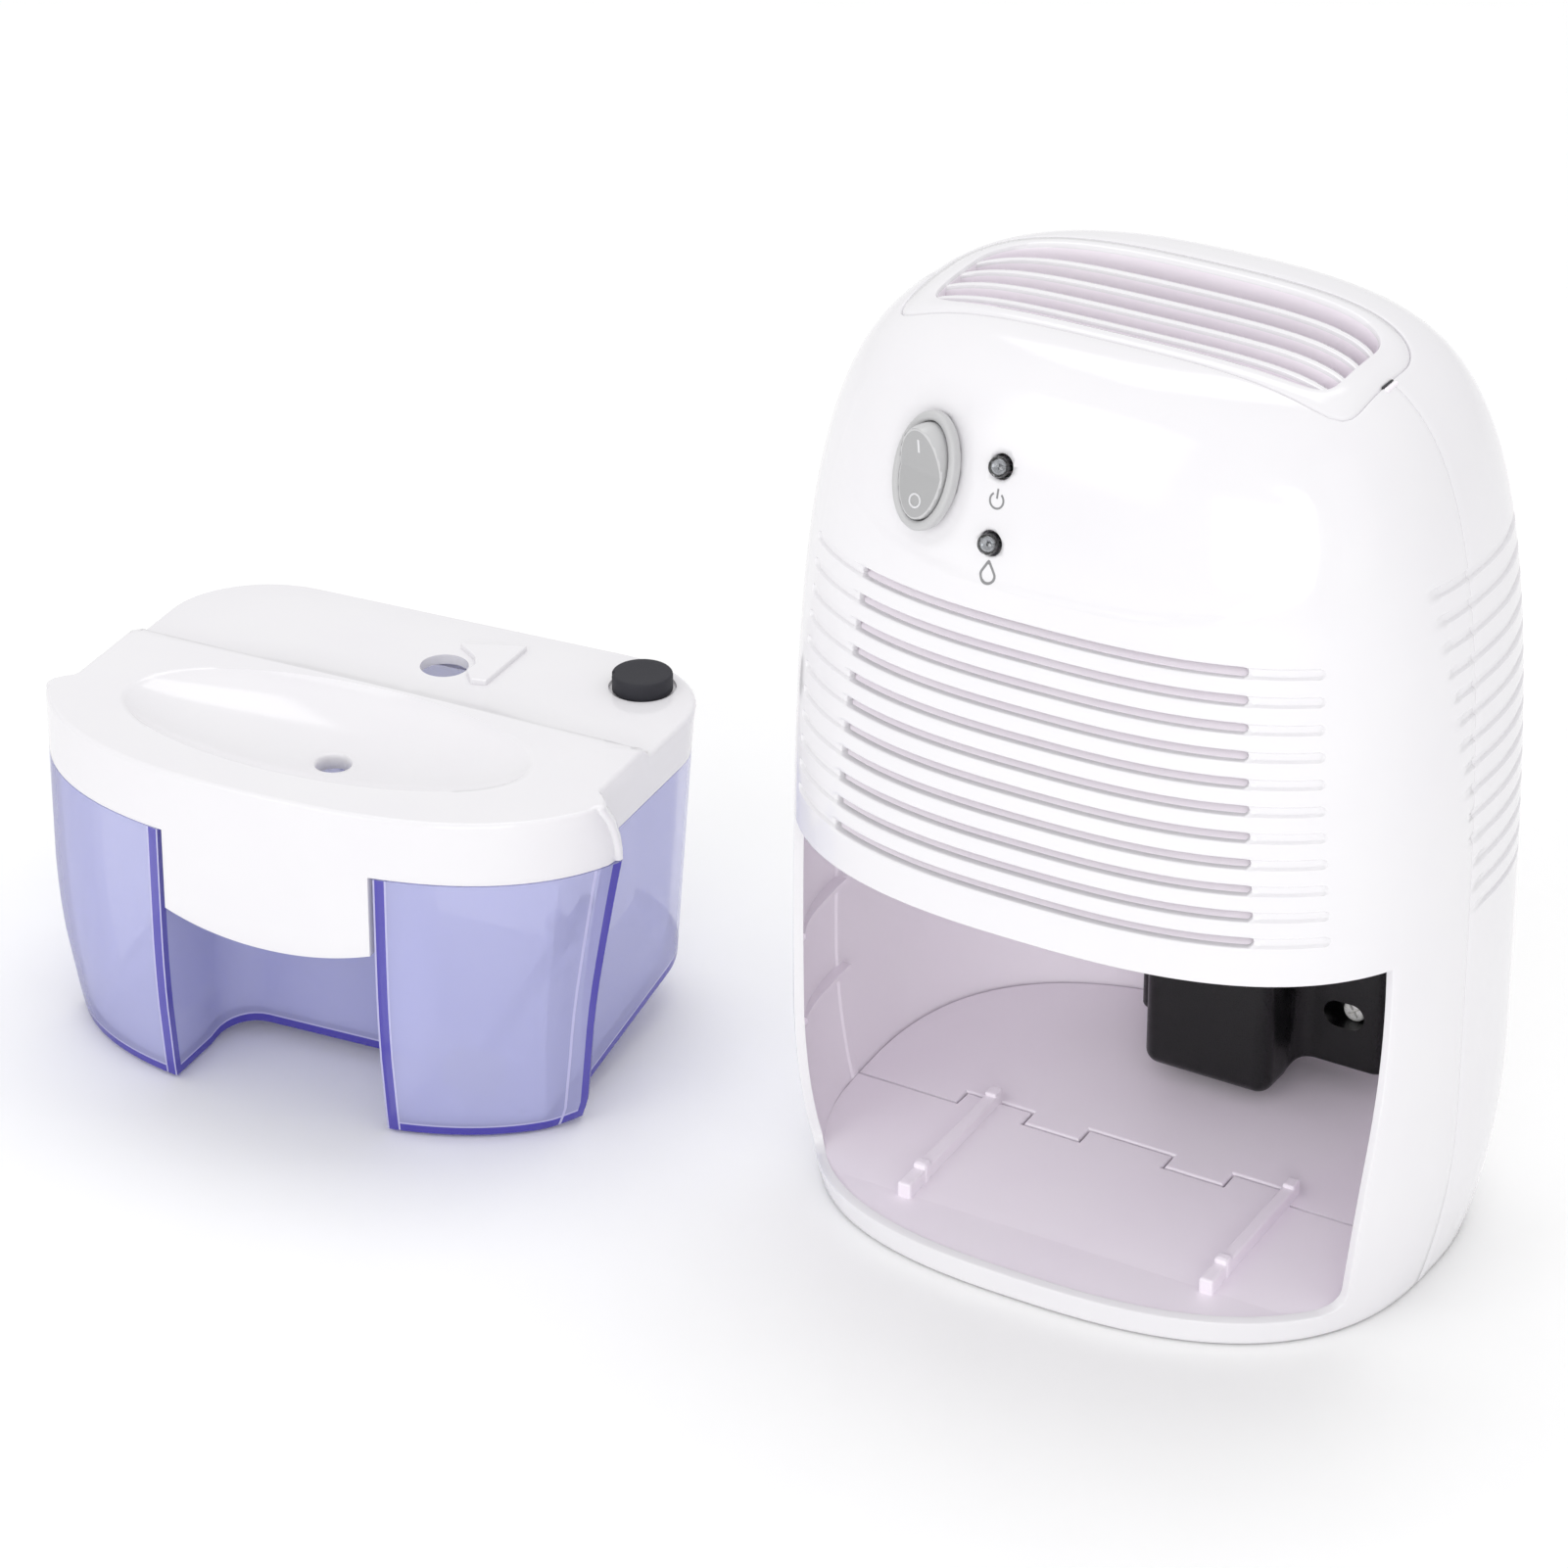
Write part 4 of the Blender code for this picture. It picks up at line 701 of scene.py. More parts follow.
def shell_half(side):
    """Outer and inner points of one half shell, by column and row."""
    front = side < 0
    spans, edges = (FRONT_SPANS, FRONT_EDGES) if front else (REAR_SPANS, REAR_EDGES)
    columns = edges[-1]
    outer, inner = {}, {}
    for j, (z, k, dz) in enumerate(ROWS):
        if front:
            own = dz if has_front_slot(k) else SLOT_HALF_HEIGHT
            keys = front_keys(z, own)
        else:
            own = dz if k is not None else SLOT_HALF_HEIGHT
            inset = end_inset(min(abs(own), SLOT_HALF_HEIGHT), SLOT_HALF_HEIGHT) * 0.8
            half = REAR_SLOT_HALF * min(1, half_width(z) / half_width(SLOT_TOP)) - inset
            keys = (-half, half)
        fade = (smooth(z, MOUTH_TOP, PATTERN_LOW + SLOT_PITCH)
                * (1 - smooth(z, PATTERN_TOP + 0.003, MORPH_START - 0.002)))
        in_groove = k is not None and abs(dz) < SLOT_HALF_HEIGHT - 0.0001
        front_groove = front and in_groove and has_front_slot(k)
        for i, turn in enumerate(spread_turns(keys, spans, z, side)):
            rough = section_point(turn, z, side)
            shift = smooth(abs(rough.x), 0.066, 0.0765) if front else 1.0
            level = z - SIDE_SHIFT * shift * fade
            point = section_point(turn, level, side)
            out = outward(point)
            depth = 0.0
            if front:
                depth += panel_relief(point.x, point.z)
                if front_groove and FRONT_EDGES[3] <= i <= FRONT_EDGES[6]:
                    depth += GROOVE_DEPTH
            if in_groove and (not front or abs(point.x) > 0.07):
                depth += GROOVE_DEPTH * side_groove_share(point.y, point.z)
            if i in (0, columns):
                out = Vector((math.copysign(1, point.x), 0, 0))
            outer[i, j] = point - out * depth
            inner[i, j] = point - out * WALL
    base = {i: (outer[i, LEVELS], section_point_of(outer[i, LEVELS])) for i in range(columns + 1)}
    for i, (start, direction) in base.items():
        reach = seat_radius(direction)
        goal = Vector((direction.x * reach, SEAM_Y + direction.y * reach))
        for r in range(1, MORPH_ROWS + 1):
            share = r / MORPH_ROWS
            x, y = mix(start.x, goal.x, share), mix(start.y, goal.y, share)
            point = Vector((x, y, dome_z(x, y)))
            out = outward(point)
            if i in (0, columns):
                out.y = 0
                out.normalize()
            depth = panel_relief(x, point.z) if front else 0.0
            outer[i, LEVELS + r] = point - out * depth
            inner[i, LEVELS + r] = point - out * WALL
    return columns, outer, inner


def section_point_of(point):
    """Direction in plan from the seam's middle to a point."""
    way = Vector((point.x, point.y - SEAM_Y))
    return way.normalized()


def thick(bm, inner, inner_material=1, edge=EDGE_ROUND):
    """Gives a grid an inner skin, whose points are given by column and row, and round edges."""
    column, row = bm.verts.layers.int["column"], bm.verts.layers.int["row"]
    outer_faces = set(bm.faces)
    made = bmesh.ops.extrude_face_region(bm, geom=bm.faces[:], use_keep_orig=True)
    moved = {v for v in made["geom"] if isinstance(v, bmesh.types.BMVert)}
    for vert in moved:
        vert.co = inner[vert[column], vert[row]]
    # the inner skin takes the second material, which on the shells is the lilac-white of painted shade
    # and light
    for face in bm.faces:
        if all(v in moved for v in face.verts):
            face.material_index = inner_material
    rims = [f for f in bm.faces if f not in outer_faces and not all(v in moved for v in f.verts)]
    rim_set = set(rims)
    sharp = [e for e in bm.edges if sum(f in rim_set for f in e.link_faces) == 1
             and any(f in outer_faces for f in e.link_faces)]
    face_out(bm)
    if edge:
        bmesh.ops.bevel(bm, geom=sharp, offset=edge, segments=2, profile=0.5, affect="EDGES",
                        material=-1, clamp_overlap=True)
    shade(bm, True)
    inner_edges = [e for e in bm.edges if len(e.link_faces) == 2
                   and e.calc_face_angle(0) > math.radians(50)]
    for e in inner_edges:
        e.smooth = False


def row_of(level):
    """The row nearest to a level."""
    return min(range(len(ROWS)), key=lambda j: abs(ROWS[j][0] - level))


def front_shell():
    columns, outer, inner = shell_half(-1)
    bm = lattice(columns, LEVELS + MORPH_ROWS, lambda i, j: outer[i, j])
    floor_row, mouth_row = row_of(FLOOR_FRONT), row_of(MOUTH_TOP)
    mouth = (FRONT_EDGES[1], FRONT_EDGES[-2])
    slot = (FRONT_EDGES[4], FRONT_EDGES[5])

    def open_cell(i, j):
        if floor_row <= j < mouth_row and mouth[0] <= i < mouth[1]:
            return True
        if j >= LEVELS or ROWS[j][1] is None:
            return False
        return has_front_slot(ROWS[j][1]) and in_slot(ROWS[j][2]) and slot[0] <= i < slot[1]

    drop(bm, open_cell)
    thick(bm, inner)
    shell = piece("front_shell_moulding", bm, [WHITE, INSIDE_PAINTED_SHADE_AND_LIGHT], "housing",
                  stands_for=["front_shell"])
    tools = bmesh.new()
    place = surface_frame(SWITCH_X, SWITCH_Z)
    hole = lathe([(0, 0.012), (1, 0.012), (1, -0.012), (0, -0.012)])
    hole.transform(place @ Matrix.Diagonal((SWITCH_HALF[0] - 0.0012, SWITCH_HALF[1] - 0.0012, 1, 1)))
    add_mesh(tools, hole)
    bore = LED_RADIUS + LED_GAP
    for z in LED_ZS.values():
        hole = lathe([(0, 0.01), (bore, 0.01), (bore, -0.01), (0, -0.01)])
        hole.transform(surface_frame(LED_X, z))
        add_mesh(tools, hole)
    cut(shell, as_mesh(tools))


def rear_shell():
    columns, outer, inner = shell_half(1)
    bm = lattice(columns, LEVELS + MORPH_ROWS, lambda i, j: outer[columns - i, j])
    flipped = {(columns - i, j): point for (i, j), point in inner.items()}
    slot = (REAR_EDGES[1], REAR_EDGES[2])

    def open_cell(i, j):
        if j >= LEVELS or ROWS[j][1] is None:
            return False
        return in_slot(ROWS[j][2]) and slot[0] <= i < slot[1]

    drop(bm, open_cell)
    thick(bm, flipped)
    shell = piece("rear_shell_moulding", bm, [WHITE, INSIDE_PAINTED_SHADE_AND_LIGHT], "housing",
                  stands_for=["rear_shell"])
    low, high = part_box("dc_inlet")
    radius = (high.x - low.x) / 2 + SEAM_GAP
    tools = lathe([(0, 0.02), (radius, 0.02), (radius, -0.02), (0, -0.02)])
    tools.transform(end_on((low.x + high.x) / 2, high.y, (low.z + high.z) / 2, -1))
    for name in ("shell_screw_left", "shell_screw_right"):
        low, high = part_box(name)
        hole = lathe([(0, 0.06), (WELL_RADIUS, 0.06), (WELL_RADIUS, 0.01), (0, 0.01)])
        hole.transform(end_on((low.x + high.x) / 2, 0, (low.z + high.z) / 2, -1))
        add_mesh(tools, hole)
        screw_well(name, low, high)
    cut(shell, as_mesh(tools))


def screw_well(name, low, high):
    """Tube inside the rear shell that a shell screw sits at the bottom of."""
    x, z = (low.x + high.x) / 2, (low.z + high.z) / 2
    deep = -front_y(x, z) - WALL / 2 - 0.004
    out = WELL_RADIUS + WELL_WALL
    bm = lathe([(WELL_RADIUS, deep), (out, deep), (out, 0), (SCREW_HOLE, 0), (SCREW_HOLE, 0.0002),
                (WELL_RADIUS, 0.0002), (WELL_RADIUS, deep)])
    bm.transform(end_on(x, 0.004, z, -1))
    piece(name + "_well", bm, [INSIDE_PAINTED_SHADE_AND_LIGHT], "housing")


# ---------------------------------------------------------------- inside of the bay

def floor_z(y):
    return FLOOR_FRONT + FLOOR_SLOPE * max(y - FLOOR_LEVEL_TO, 0)


def inner_outline(z, inset, count=160):
    """Plan outline of the barrel's inside at a level."""
    wide, deep = half_width(z) - inset, half_depth(z) - inset
    power = 2 / SECTION_POWER
    angles = [math.tau * k / count for k in range(count)]
    return [Vector((wide * signed_power(math.cos(a), power), deep * signed_power(math.sin(a), power)))
            for a in angles]


def seam_line(side):
    """The stepped seam across the floor, left to right, on one side of its gap."""
    line = [Vector((-WIDTH, SEAM_Y + side * SEAM_GAP))]
    forward = False
    for x in SEAM_STEP_XS:
        at = x + side * SEAM_GAP * (1 if forward else -1)
        line.append(Vector((at, SEAM_Y + side * SEAM_GAP + SEAM_STEP * forward)))
        forward = not forward
        line.append(Vector((at, SEAM_Y + side * SEAM_GAP + SEAM_STEP * forward)))
    line.append(Vector((WIDTH, SEAM_Y + side * SEAM_GAP)))
    return line


def outline_face(bm, outline, z=0.0):
    verts = [bm.verts.new((p[0], p[1], z)) for p in outline]
    edges = [bm.edges.new(pair) for pair in zip(verts, verts[1:] + verts[:1])]
    bmesh.ops.contextual_create(bm, geom=edges)
    return verts


def bay_floor(side):
    """One half of the bay's floor, level in front and rising to the rear, with a round seam edge."""
    inset = WALL - 0.0004
    shape = [p for p in inner_outline(FLOOR_FRONT, inset) if (p.y - SEAM_Y) * side > SEAM_STEP + 0.002]
    shape.sort(key=lambda p: math.atan2(p.y - SEAM_Y, p.x))
    wide = half_width(FLOOR_FRONT) - inset - 0.0002
    line = [Vector((max(-wide, min(wide, p.x)), p.y)) for p in seam_line(side)]
    # the wall runs round from one end of the seam to the other, and the seam closes it
    outline = shape + (line[::-1] if side < 0 else line)
    bm = bmesh.new()
    outline_face(bm, outline)
    if side < 0:
        bmesh.ops.bisect_plane(bm, geom=bm.verts[:] + bm.edges[:] + bm.faces[:],
                               plane_co=(0, FLOOR_LEVEL_TO, 0), plane_no=(0, 1, 0))
    made = bmesh.ops.extrude_face_region(bm, geom=bm.faces[:], use_keep_orig=True)
    low = {v for v in made["geom"] if isinstance(v, bmesh.types.BMVert)}
    for vert in bm.verts:
        vert.co.z = floor_z(vert.co.y) - (WALL if vert in low else 0)
    face_out(bm)
    seam = [e for e in bm.edges if not any(v in low for v in e.verts)
            and all(abs(v.co.y - SEAM_Y) < SEAM_STEP + 0.001 and abs(v.co.x) < wide - 0.001
                    for v in e.verts)
            and e.calc_face_angle(0) > 1]
    bmesh.ops.bevel(bm, geom=seam, offset=0.0004, segments=2, profile=0.5, affect="EDGES", material=-1)
    name = "front_bay_floor" if side < 0 else "rear_bay_floor"
    piece(name, bm, [INSIDE_PAINTED_SHADE_AND_LIGHT], "housing")


def rails():
    """Two guide rails with a catch for the tank near their front ends."""
    for side, label in ((-1, "left"), (1, "right")):
        x = side * RAIL_X
        bm = bmesh.new()
        for half, front, rear, top, edge in RAIL_BLOCKS:
            block(bm, (x - half, front, FLOOR_FRONT - 0.001), (x + half, rear, top), edge)
        for vert in bm.verts:
            if vert.co.z > 0.0075:
                vert.co.z += 0.75 * (floor_z(vert.co.y) - FLOOR_FRONT)
        shade(bm, False)
        piece(f"{label}_rail", bm, [INSIDE_PAINTED_SHADE_AND_LIGHT], "housing")


def wall_ledges():
    """Guide ledges for the tank and the overlapping flange of the shells, on both side walls."""
    for side, label in ((-1, "left"), (1, "right")):
        bm = bmesh.new()
        strips = [lattice(16, 4, lambda i, j, z=z, start=start, end=end: ledge_point(
            side, z, mix(start + (0.013 if side > 0 else 0), end, i / 16), j), across=True)
            for z, start, end in ((0.060, -0.0335, -0.0070), (0.037, -0.0310, -0.0052))]
        strips.append(lattice(40, 4, lambda i, j: flange_point(
            side, mix(FLOOR_FRONT + 0.001, 0.0885, i / 40), j), across=True))
        for strip in strips:
            close(strip)
            shade(strip, False)
            add_mesh(bm, strip)
        piece(f"{label}_wall_ledges", bm, [INSIDE_PAINTED_SHADE_AND_LIGHT], "housing")


def ledge_point(side, z, y, j):
    """A ledge's section: from inside the wall out along its top, down its nose and back."""
    proud = mix(0.0010, 0.0026, smooth(y, -0.033, -0.015))
    reach, drop_by = ((-0.0006, 0.0), (proud, 0.0), (proud, 0.0012), (-0.0006, 0.0030))[j]
    wall = side_x(y, z) - WALL
    return Vector((side * (wall - reach), y, z - drop_by))


def flange_point(side, z, j):
    """The flange's section: a low step that stands proud of the wall."""
    y, proud = ((-0.0050, -0.0006), (-0.0050, 0.0004), (-0.0072, 0.0004), (-0.0090, -0.0006))[j]
    return Vector((side * (side_x(y, z) - WALL - proud), y, z))


def louvre_vanes():
    """Vanes behind the front slots, in one moulding: each closes the view into the housing."""
    bm = bmesh.new()
    columns = 60
    for k in range(SLOT_COUNT):
        z = SLOT_TOP - k * SLOT_PITCH - SLOT_HALF_HEIGHT
        half = mix(SLOT_HALF_TOP, SLOT_HALF_LOW, k / (SLOT_COUNT - 1)) + 0.0010

        def place(i, j, z=z, half=half):
            x = mix(-half, half, i / columns)
            depth = (WALL - 0.0002, WALL + VANE_DEPTH, WALL + VANE_DEPTH + 0.0004, WALL - 0.0002)[j]
            rise = (0.0, VANE_RISE, VANE_RISE - 0.0011, -0.0012)[j]
            return Vector((x, front_y(x, z) + depth, z - 0.0001 + rise))

        vane = lattice(columns, 4, place, across=True)
        tidy(vane)
        bmesh.ops.holes_fill(vane, edges=vane.edges)
        add_mesh(bm, vane)
    thing = piece("louvre_vanes", bm, [VANE], "housing")
    for face in thing.data.polygons:
        face.use_smooth = True
    crease(thing, 35)


# ---------------------------------------------------------------- top grille

def grille_point(angle, inset, from_end, drop_by):
    """A point of the grille's outline, inset from its edge, at a depth under the dome."""
    rear = math.sin(angle) > 0
    wide = GRILLE_HALF - from_end
    deep, power = (GRILLE_REAR, SECTION_POWER) if rear else (GRILLE_FRONT, GRILLE_POWER)
    x = wide * signed_power(math.cos(angle), 2 / power)
    y = (deep - inset) * signed_power(math.sin(angle), 2 / power)
    return Vector((x, y, dome_z(x, y) - drop_by))


def grille_angles(count):
    """Angle parameters round the outline, even along its length."""
    fine = [math.tau * k / 4000 for k in range(4001)]
    points = [grille_point(a, 0, 0, 0).xy for a in fine]
    travelled = [0.0]
    for a, b in zip(points, points[1:]):
        travelled.append(travelled[-1] + (b - a).length)
    found = []
    at = 0
    for k in range(count):
        goal = travelled[-1] * k / count
        while travelled[at + 1] < goal:
            at += 1
        found.append(fine[at])
    return found


def grille_frame():
    """Rim that continues the dome, with round edges and walls down into the opening."""
    count = 220
    angles = grille_angles(count)
    ends, rim = GRILLE_RIM_END, GRILLE_RIM
    # inset from the front and rear, inset from the ends, depth under the dome
    section = [(0.0003, 0.0003, 0.0060), (0.0, 0.0, 0.0010), (0.0001, 0.0001, 0.0004),
               (0.0005, 0.0005, 0.0000), (rim - 0.0013, ends - 0.0013, -0.0001),
               (rim - 0.0004, ends - 0.0004, 0.0002), (rim, ends, 0.0010),
               (rim + 0.0001, ends + 0.0001, 0.0085),
               (rim - 0.0016, ends - 0.0016, 0.0085), (rim - 0.0018, ends - 0.0018, 0.0040),
               (0.0020, 0.0020, 0.0035), (0.0003, 0.0003, 0.0060)]
    rows = len(section) - 1

    def place(i, j):
        return grille_point(angles[i], *section[j])

    bm = lattice(count, rows, place, around=True)
    tidy(bm)
    face_out(bm)
    # faces deeper than 1.2 mm under the dome take the vane material: painted light and shade down the
    # opening's walls
    for face in bm.faces:
        if face.calc_center_median().z < dome_z(*face.calc_center_median().xy) - 0.0012:
            face.material_index = 1
    thing = piece("grille_frame", bm, [WHITE, VANE], "housing", stands_for=["top_grille"])
    crease(thing, 50)


def grille_slats():
    """Four upright slats that follow the dome, less arched towards the front."""
    front, rear = GRILLE_FRONT - GRILLE_RIM, GRILLE_REAR - GRILLE_RIM
    reach = GRILLE_HALF - GRILLE_RIM_END + 0.0012
    columns = 90
    for k, share in enumerate(SLAT_SHARES):
        def place(i, j, share=share):
            x = mix(-reach, reach, i / columns)
            bend = (1 - min(abs(x) / (reach * 1.02), 1) ** SECTION_POWER) ** (1 / SECTION_POWER)
            y = -front + share * (front + rear * bend)
            side, drop_by = ((-0.9, 8.0), (-1.1, 1.9), (-0.85, 1.2), (0.0, 0.9), (0.85, 1.2), (1.1, 1.9),
                             (0.9, 8.0))[j]
            return Vector((x, y + side * MM, dome_z(x, y) - drop_by * MM))

        bm = lattice(columns, 7, place, across=True)
        close(bm)
        # faces more than 2.1 mm under the dome take the vane material: painted light and shade lower on
        # the slats, while their tops stay white
        for face in bm.faces:
            middle = face.calc_center_median()
            if middle.z < dome_z(*middle.xy) - 0.0021:
                face.material_index = 1
        thing = piece(f"grille_slat_{k + 1}", bm, [WHITE, VANE], "housing")
        crease(thing, 50)


def grille_latch():
    """Tab in a small notch at the grille's right end, where the grille is prised out."""
    bm = bmesh.new()
    z = dome_z(GRILLE_HALF, -0.004)
    block(bm, (GRILLE_HALF + 0.0004, -0.0085, z - 0.0030), (GRILLE_HALF + 0.0015, -0.0035, z - 0.0003),
          0.0004)
    piece("grille_latch", bm, [VANE], "housing")
    # a thin dark block along the notch is painted shadow: it stands for the shade in the slit beside the
    # tab
    bm = bmesh.new()
    block(bm, (GRILLE_HALF, -0.0085, z - 0.0012), (GRILLE_HALF + 0.0005, -0.0040, z - 0.0001), 0.0001)
    piece("grille_latch_painted_shadow", bm, [DARK_LEAD_AND_PAINTED_SHADOW], "housing")


# ---------------------------------------------------------------- switch, indicators and marks

def switch_bezel():
    place = surface_frame(SWITCH_X, SWITCH_Z)
    wide, tall = SWITCH_HALF
    count = 96
    proud = SWITCH_PROUD
    # inset from the outer edge, height over the surface
    section = [(0.0017, -0.0150), (0.0017, -0.0002), (0.0, -0.0006), (0.0, proud - 0.0007),
               (0.0002, proud - 0.0003), (0.0006, proud), (SWITCH_RIM - 0.0005, proud - 0.0002),
               (SWITCH_RIM - 0.0001, proud - 0.0006), (SWITCH_RIM, proud - 0.0012),
               (SWITCH_RIM + 0.0006, -0.0080)]

    def point(i, j):
        inset, height = section[j]
        a = math.tau * i / count
        return Vector(((wide - inset) * math.cos(a), (tall - inset) * math.sin(a), height))

    bm = lattice(count, len(section) - 1, point, around=True)
    close(bm)
    thing = piece("switch_bezel", bm, [BEZEL], "housing", place, ["switch_body"])
    crease(thing, 50)


def rocker_frame():
    return (surface_frame(SWITCH_X, SWITCH_Z) @ Matrix.Translation((0, 0, SWITCH_PROUD / 2))
            @ Matrix.Rotation(ROCKER_ANGLE, 4, "X"))


def rocker():
    """Oval button whose two faces meet in a shallow valley; its sides are round about its axis."""
    wide = SWITCH_HALF[0] - SWITCH_RIM - 0.0002
    tall = SWITCH_HALF[1] - SWITCH_RIM - 0.0002
    bm = bmesh.new()
    bmesh.ops.create_uvsphere(bm, u_segments=96, v_segments=64, radius=1)
    bmesh.ops.scale(bm, vec=(wide, tall, tall), verts=bm.verts)
    slope = math.tan(ROCKER_ANGLE)
    everything = bm.verts[:] + bm.edges[:] + bm.faces[:]
    bmesh.ops.bisect_plane(bm, geom=everything, plane_co=(0, 0, 0), plane_no=(0, -1, 0),
                           clear_outer=True)
    for height, normal in ((ROCKER_CROWN, (0, -slope, 1)), (-0.0040, (0, 0, -1))):
        everything = bm.verts[:] + bm.edges[:] + bm.faces[:]
        made = bmesh.ops.bisect_plane(bm, geom=everything, plane_co=(0, 0, height), plane_no=normal,
                                      clear_outer=True)
        rim = [e for e in made["geom_cut"] if isinstance(e, bmesh.types.BMEdge)]
        bmesh.ops.contextual_create(bm, geom=rim)
    bmesh.ops.mirror(bm, geom=bm.verts[:] + bm.edges[:] + bm.faces[:], axis="Y", merge_dist=1e-6)
    tidy(bm)
    face_out(bm)
    # faces along the button's axis take the rocker's grey; its sides and their bevels take the lighter
    # copy, painted light
    for face in bm.faces:
        face.smooth = True
        face.material_index = 0 if face.normal.z > 0.9 else 1
    brink = [e for e in bm.edges if len(e.link_faces) == 2 and e.calc_face_angle(0) > math.radians(40)
             and e.link_faces[0].material_index != e.link_faces[1].material_index]
    bmesh.ops.bevel(bm, geom=brink, offset=0.00045, segments=3, profile=0.5, affect="EDGES", material=1)
    thing = piece("rocker_button", bm, [ROCKER, ROCKER_SIDE_PAINTED_LIGHT], "rocker",
                  rocker_frame(), ["power_rocker"])
    crease(thing, 40)


def flat_ring(radius, width, thickness, columns=40, gap=0.0):
    """A thin raised ring in the XY plane, open over an angle at its top when gap is given."""
    section = ((-0.5, 0.0), (-0.5, 1.0), (0.5, 1.0), (0.5, 0.0))

    def place(i, j):
        span = math.tau - gap
        a = math.pi / 2 + gap / 2 + span * i / columns
        r = radius + section[j][0] * width
        return Vector((r * math.cos(a), r * math.sin(a), section[j][1] * thickness))

    bm = lattice(columns, 4, place, around=not gap, across=True)
    close(bm)
    return bm


def rocker_marks():
    """The usual bar and ring of a mains switch, printed on the rocker's two faces."""
    frame_of = rocker_frame()
    tall = 0.0060
    for name, up in (("rocker_mark_bar", 1), ("rocker_mark_ring", -1)):
        if up > 0:
            bm = bmesh.new()
            block(bm, (-0.00025, -0.0015, 0), (0.00025, 0.0015, 0.0001))
        else:
            bm = flat_ring(0.0014, 0.00045, 0.0001)
        high = ROCKER_CROWN + tall * math.tan(ROCKER_ANGLE)
        place = (frame_of @ Matrix.Translation((0, up * tall, high))
                 @ Matrix.Rotation(up * ROCKER_ANGLE, 4, "X"))
        piece(name, bm, [PALE_PRINT], "rocker", place)


def indicator(name, z):
    """Clear dome with a reflector cup and its two posts inside."""
    place = surface_frame(LED_X, z)
    r = LED_RADIUS * 0.9
    bm = lathe([(0.0, 0.0008 + r * 0.72)]
               + [(r * math.sin(math.radians(a)), 0.0008 + r * 0.72 * math.cos(math.radians(a)))
                  for a in range(8, 91, 8)] + [(r, 0.0), (r, -0.0048), (0.0, -0.0048)], 40)
    face_out(bm)
    thing = piece(name + "_dome", bm, [EPOXY], "housing", place, [name])
    crease(thing, 50)
    bm = lathe([(0.0003, 0.0002), (0.0009, 0.0007), (0.0012, 0.0007), (0.0012, -0.0003),
                (0.0, -0.0003)], 24)
    block(bm, (-0.0014, -0.0004, -0.0040), (-0.0003, 0.0004, -0.0002), 0.0001)
    block(bm, (0.0004, -0.0004, -0.0040), (0.0015, 0.0004, 0.0008), 0.0001)
    piece(name + "_cup", bm, [SILVER], "housing", place)
    bm = lathe([(0.0, -0.0050), (r, -0.0050), (r, -0.0056), (0.0, -0.0056)], 32)
    face_out(bm)
    piece(name + "_socket", bm, [DARK_LEAD_AND_PAINTED_SHADOW], "housing", place)


def on_panel(bm, name, z):
    """Lays flat print on the panel's curved surface."""
    for vert in bm.verts:
        lift = vert.co.z
        x, high = MARK_X + vert.co.x, z + vert.co.y
        point = Vector((x, front_y(x, high), high))
        vert.co = point + outward(point) * (lift - panel_relief(x, high))
    shade(bm, False)
    piece(name, bm, [PRINT], "housing")


def printed_marks():
    """A power symbol under the upper indicator and a water drop under the lower one."""
    ink = 0.00006
    bm = flat_ring(0.0016, 0.00042, ink, gap=math.radians(70))
    block(bm, (-0.00021, 0.0004, 0), (0.00021, 0.0024, ink))
    on_panel(bm, "power_mark", 0.1861)

    def drop_point(i, j):
        a = math.tau * i / 48
        radius = (0.00195, 0.00195, 0.0014, 0.0014)[j]
        point = max(math.sin(a), 0) ** 3 * 0.0013 * radius / 0.00195
        return Vector((radius * math.cos(a) * (1 - 0.45 * max(math.sin(a), 0) ** 2),
                       radius * math.sin(a) + point, ink if j in (1, 2) else 0))

    bm = lattice(48, 4, drop_point, around=True, across=True)
    tidy(bm)
    face_out(bm)
    on_panel(bm, "drop_mark", 0.1705)


# ---------------------------------------------------------------- black cover in the bay

def corner(x, y, radius, start, end, steps=8):
    """Points round a corner's centre; angles in degrees."""
    return [Vector(point) for point in arc(x, y, radius, start, end, steps)]


def cover_plan():
    """Plan of the cover, from its left ear's back round the front to its right ear's back."""
    x0, x1 = COVER_X
    e0, e1 = COVER_EARS_X
    r, ear = COVER_ROUND, 0.003
    front, ears = COVER_FRONT, COVER_EARS_FRONT
    plan = [Vector((e0, COVER_BACK))] + corner(e0 + ear, ears + ear, ear, 180, 270, 5)
    plan += corner(x0 - 0.0025, ears - 0.0025, 0.0025, 90, 0, 6) + corner(x0 + r, front + r, r, 180, 270)
    plan += corner(x1 - r, front + r, r, 270, 360) + corner(x1 + 0.0048, ears - 0.0048, 0.0048, 180, 90)
    plan += corner(e1 - ear, ears + ear, ear, 270, 360, 5) + [Vector((e1, COVER_BACK))]
    return plan


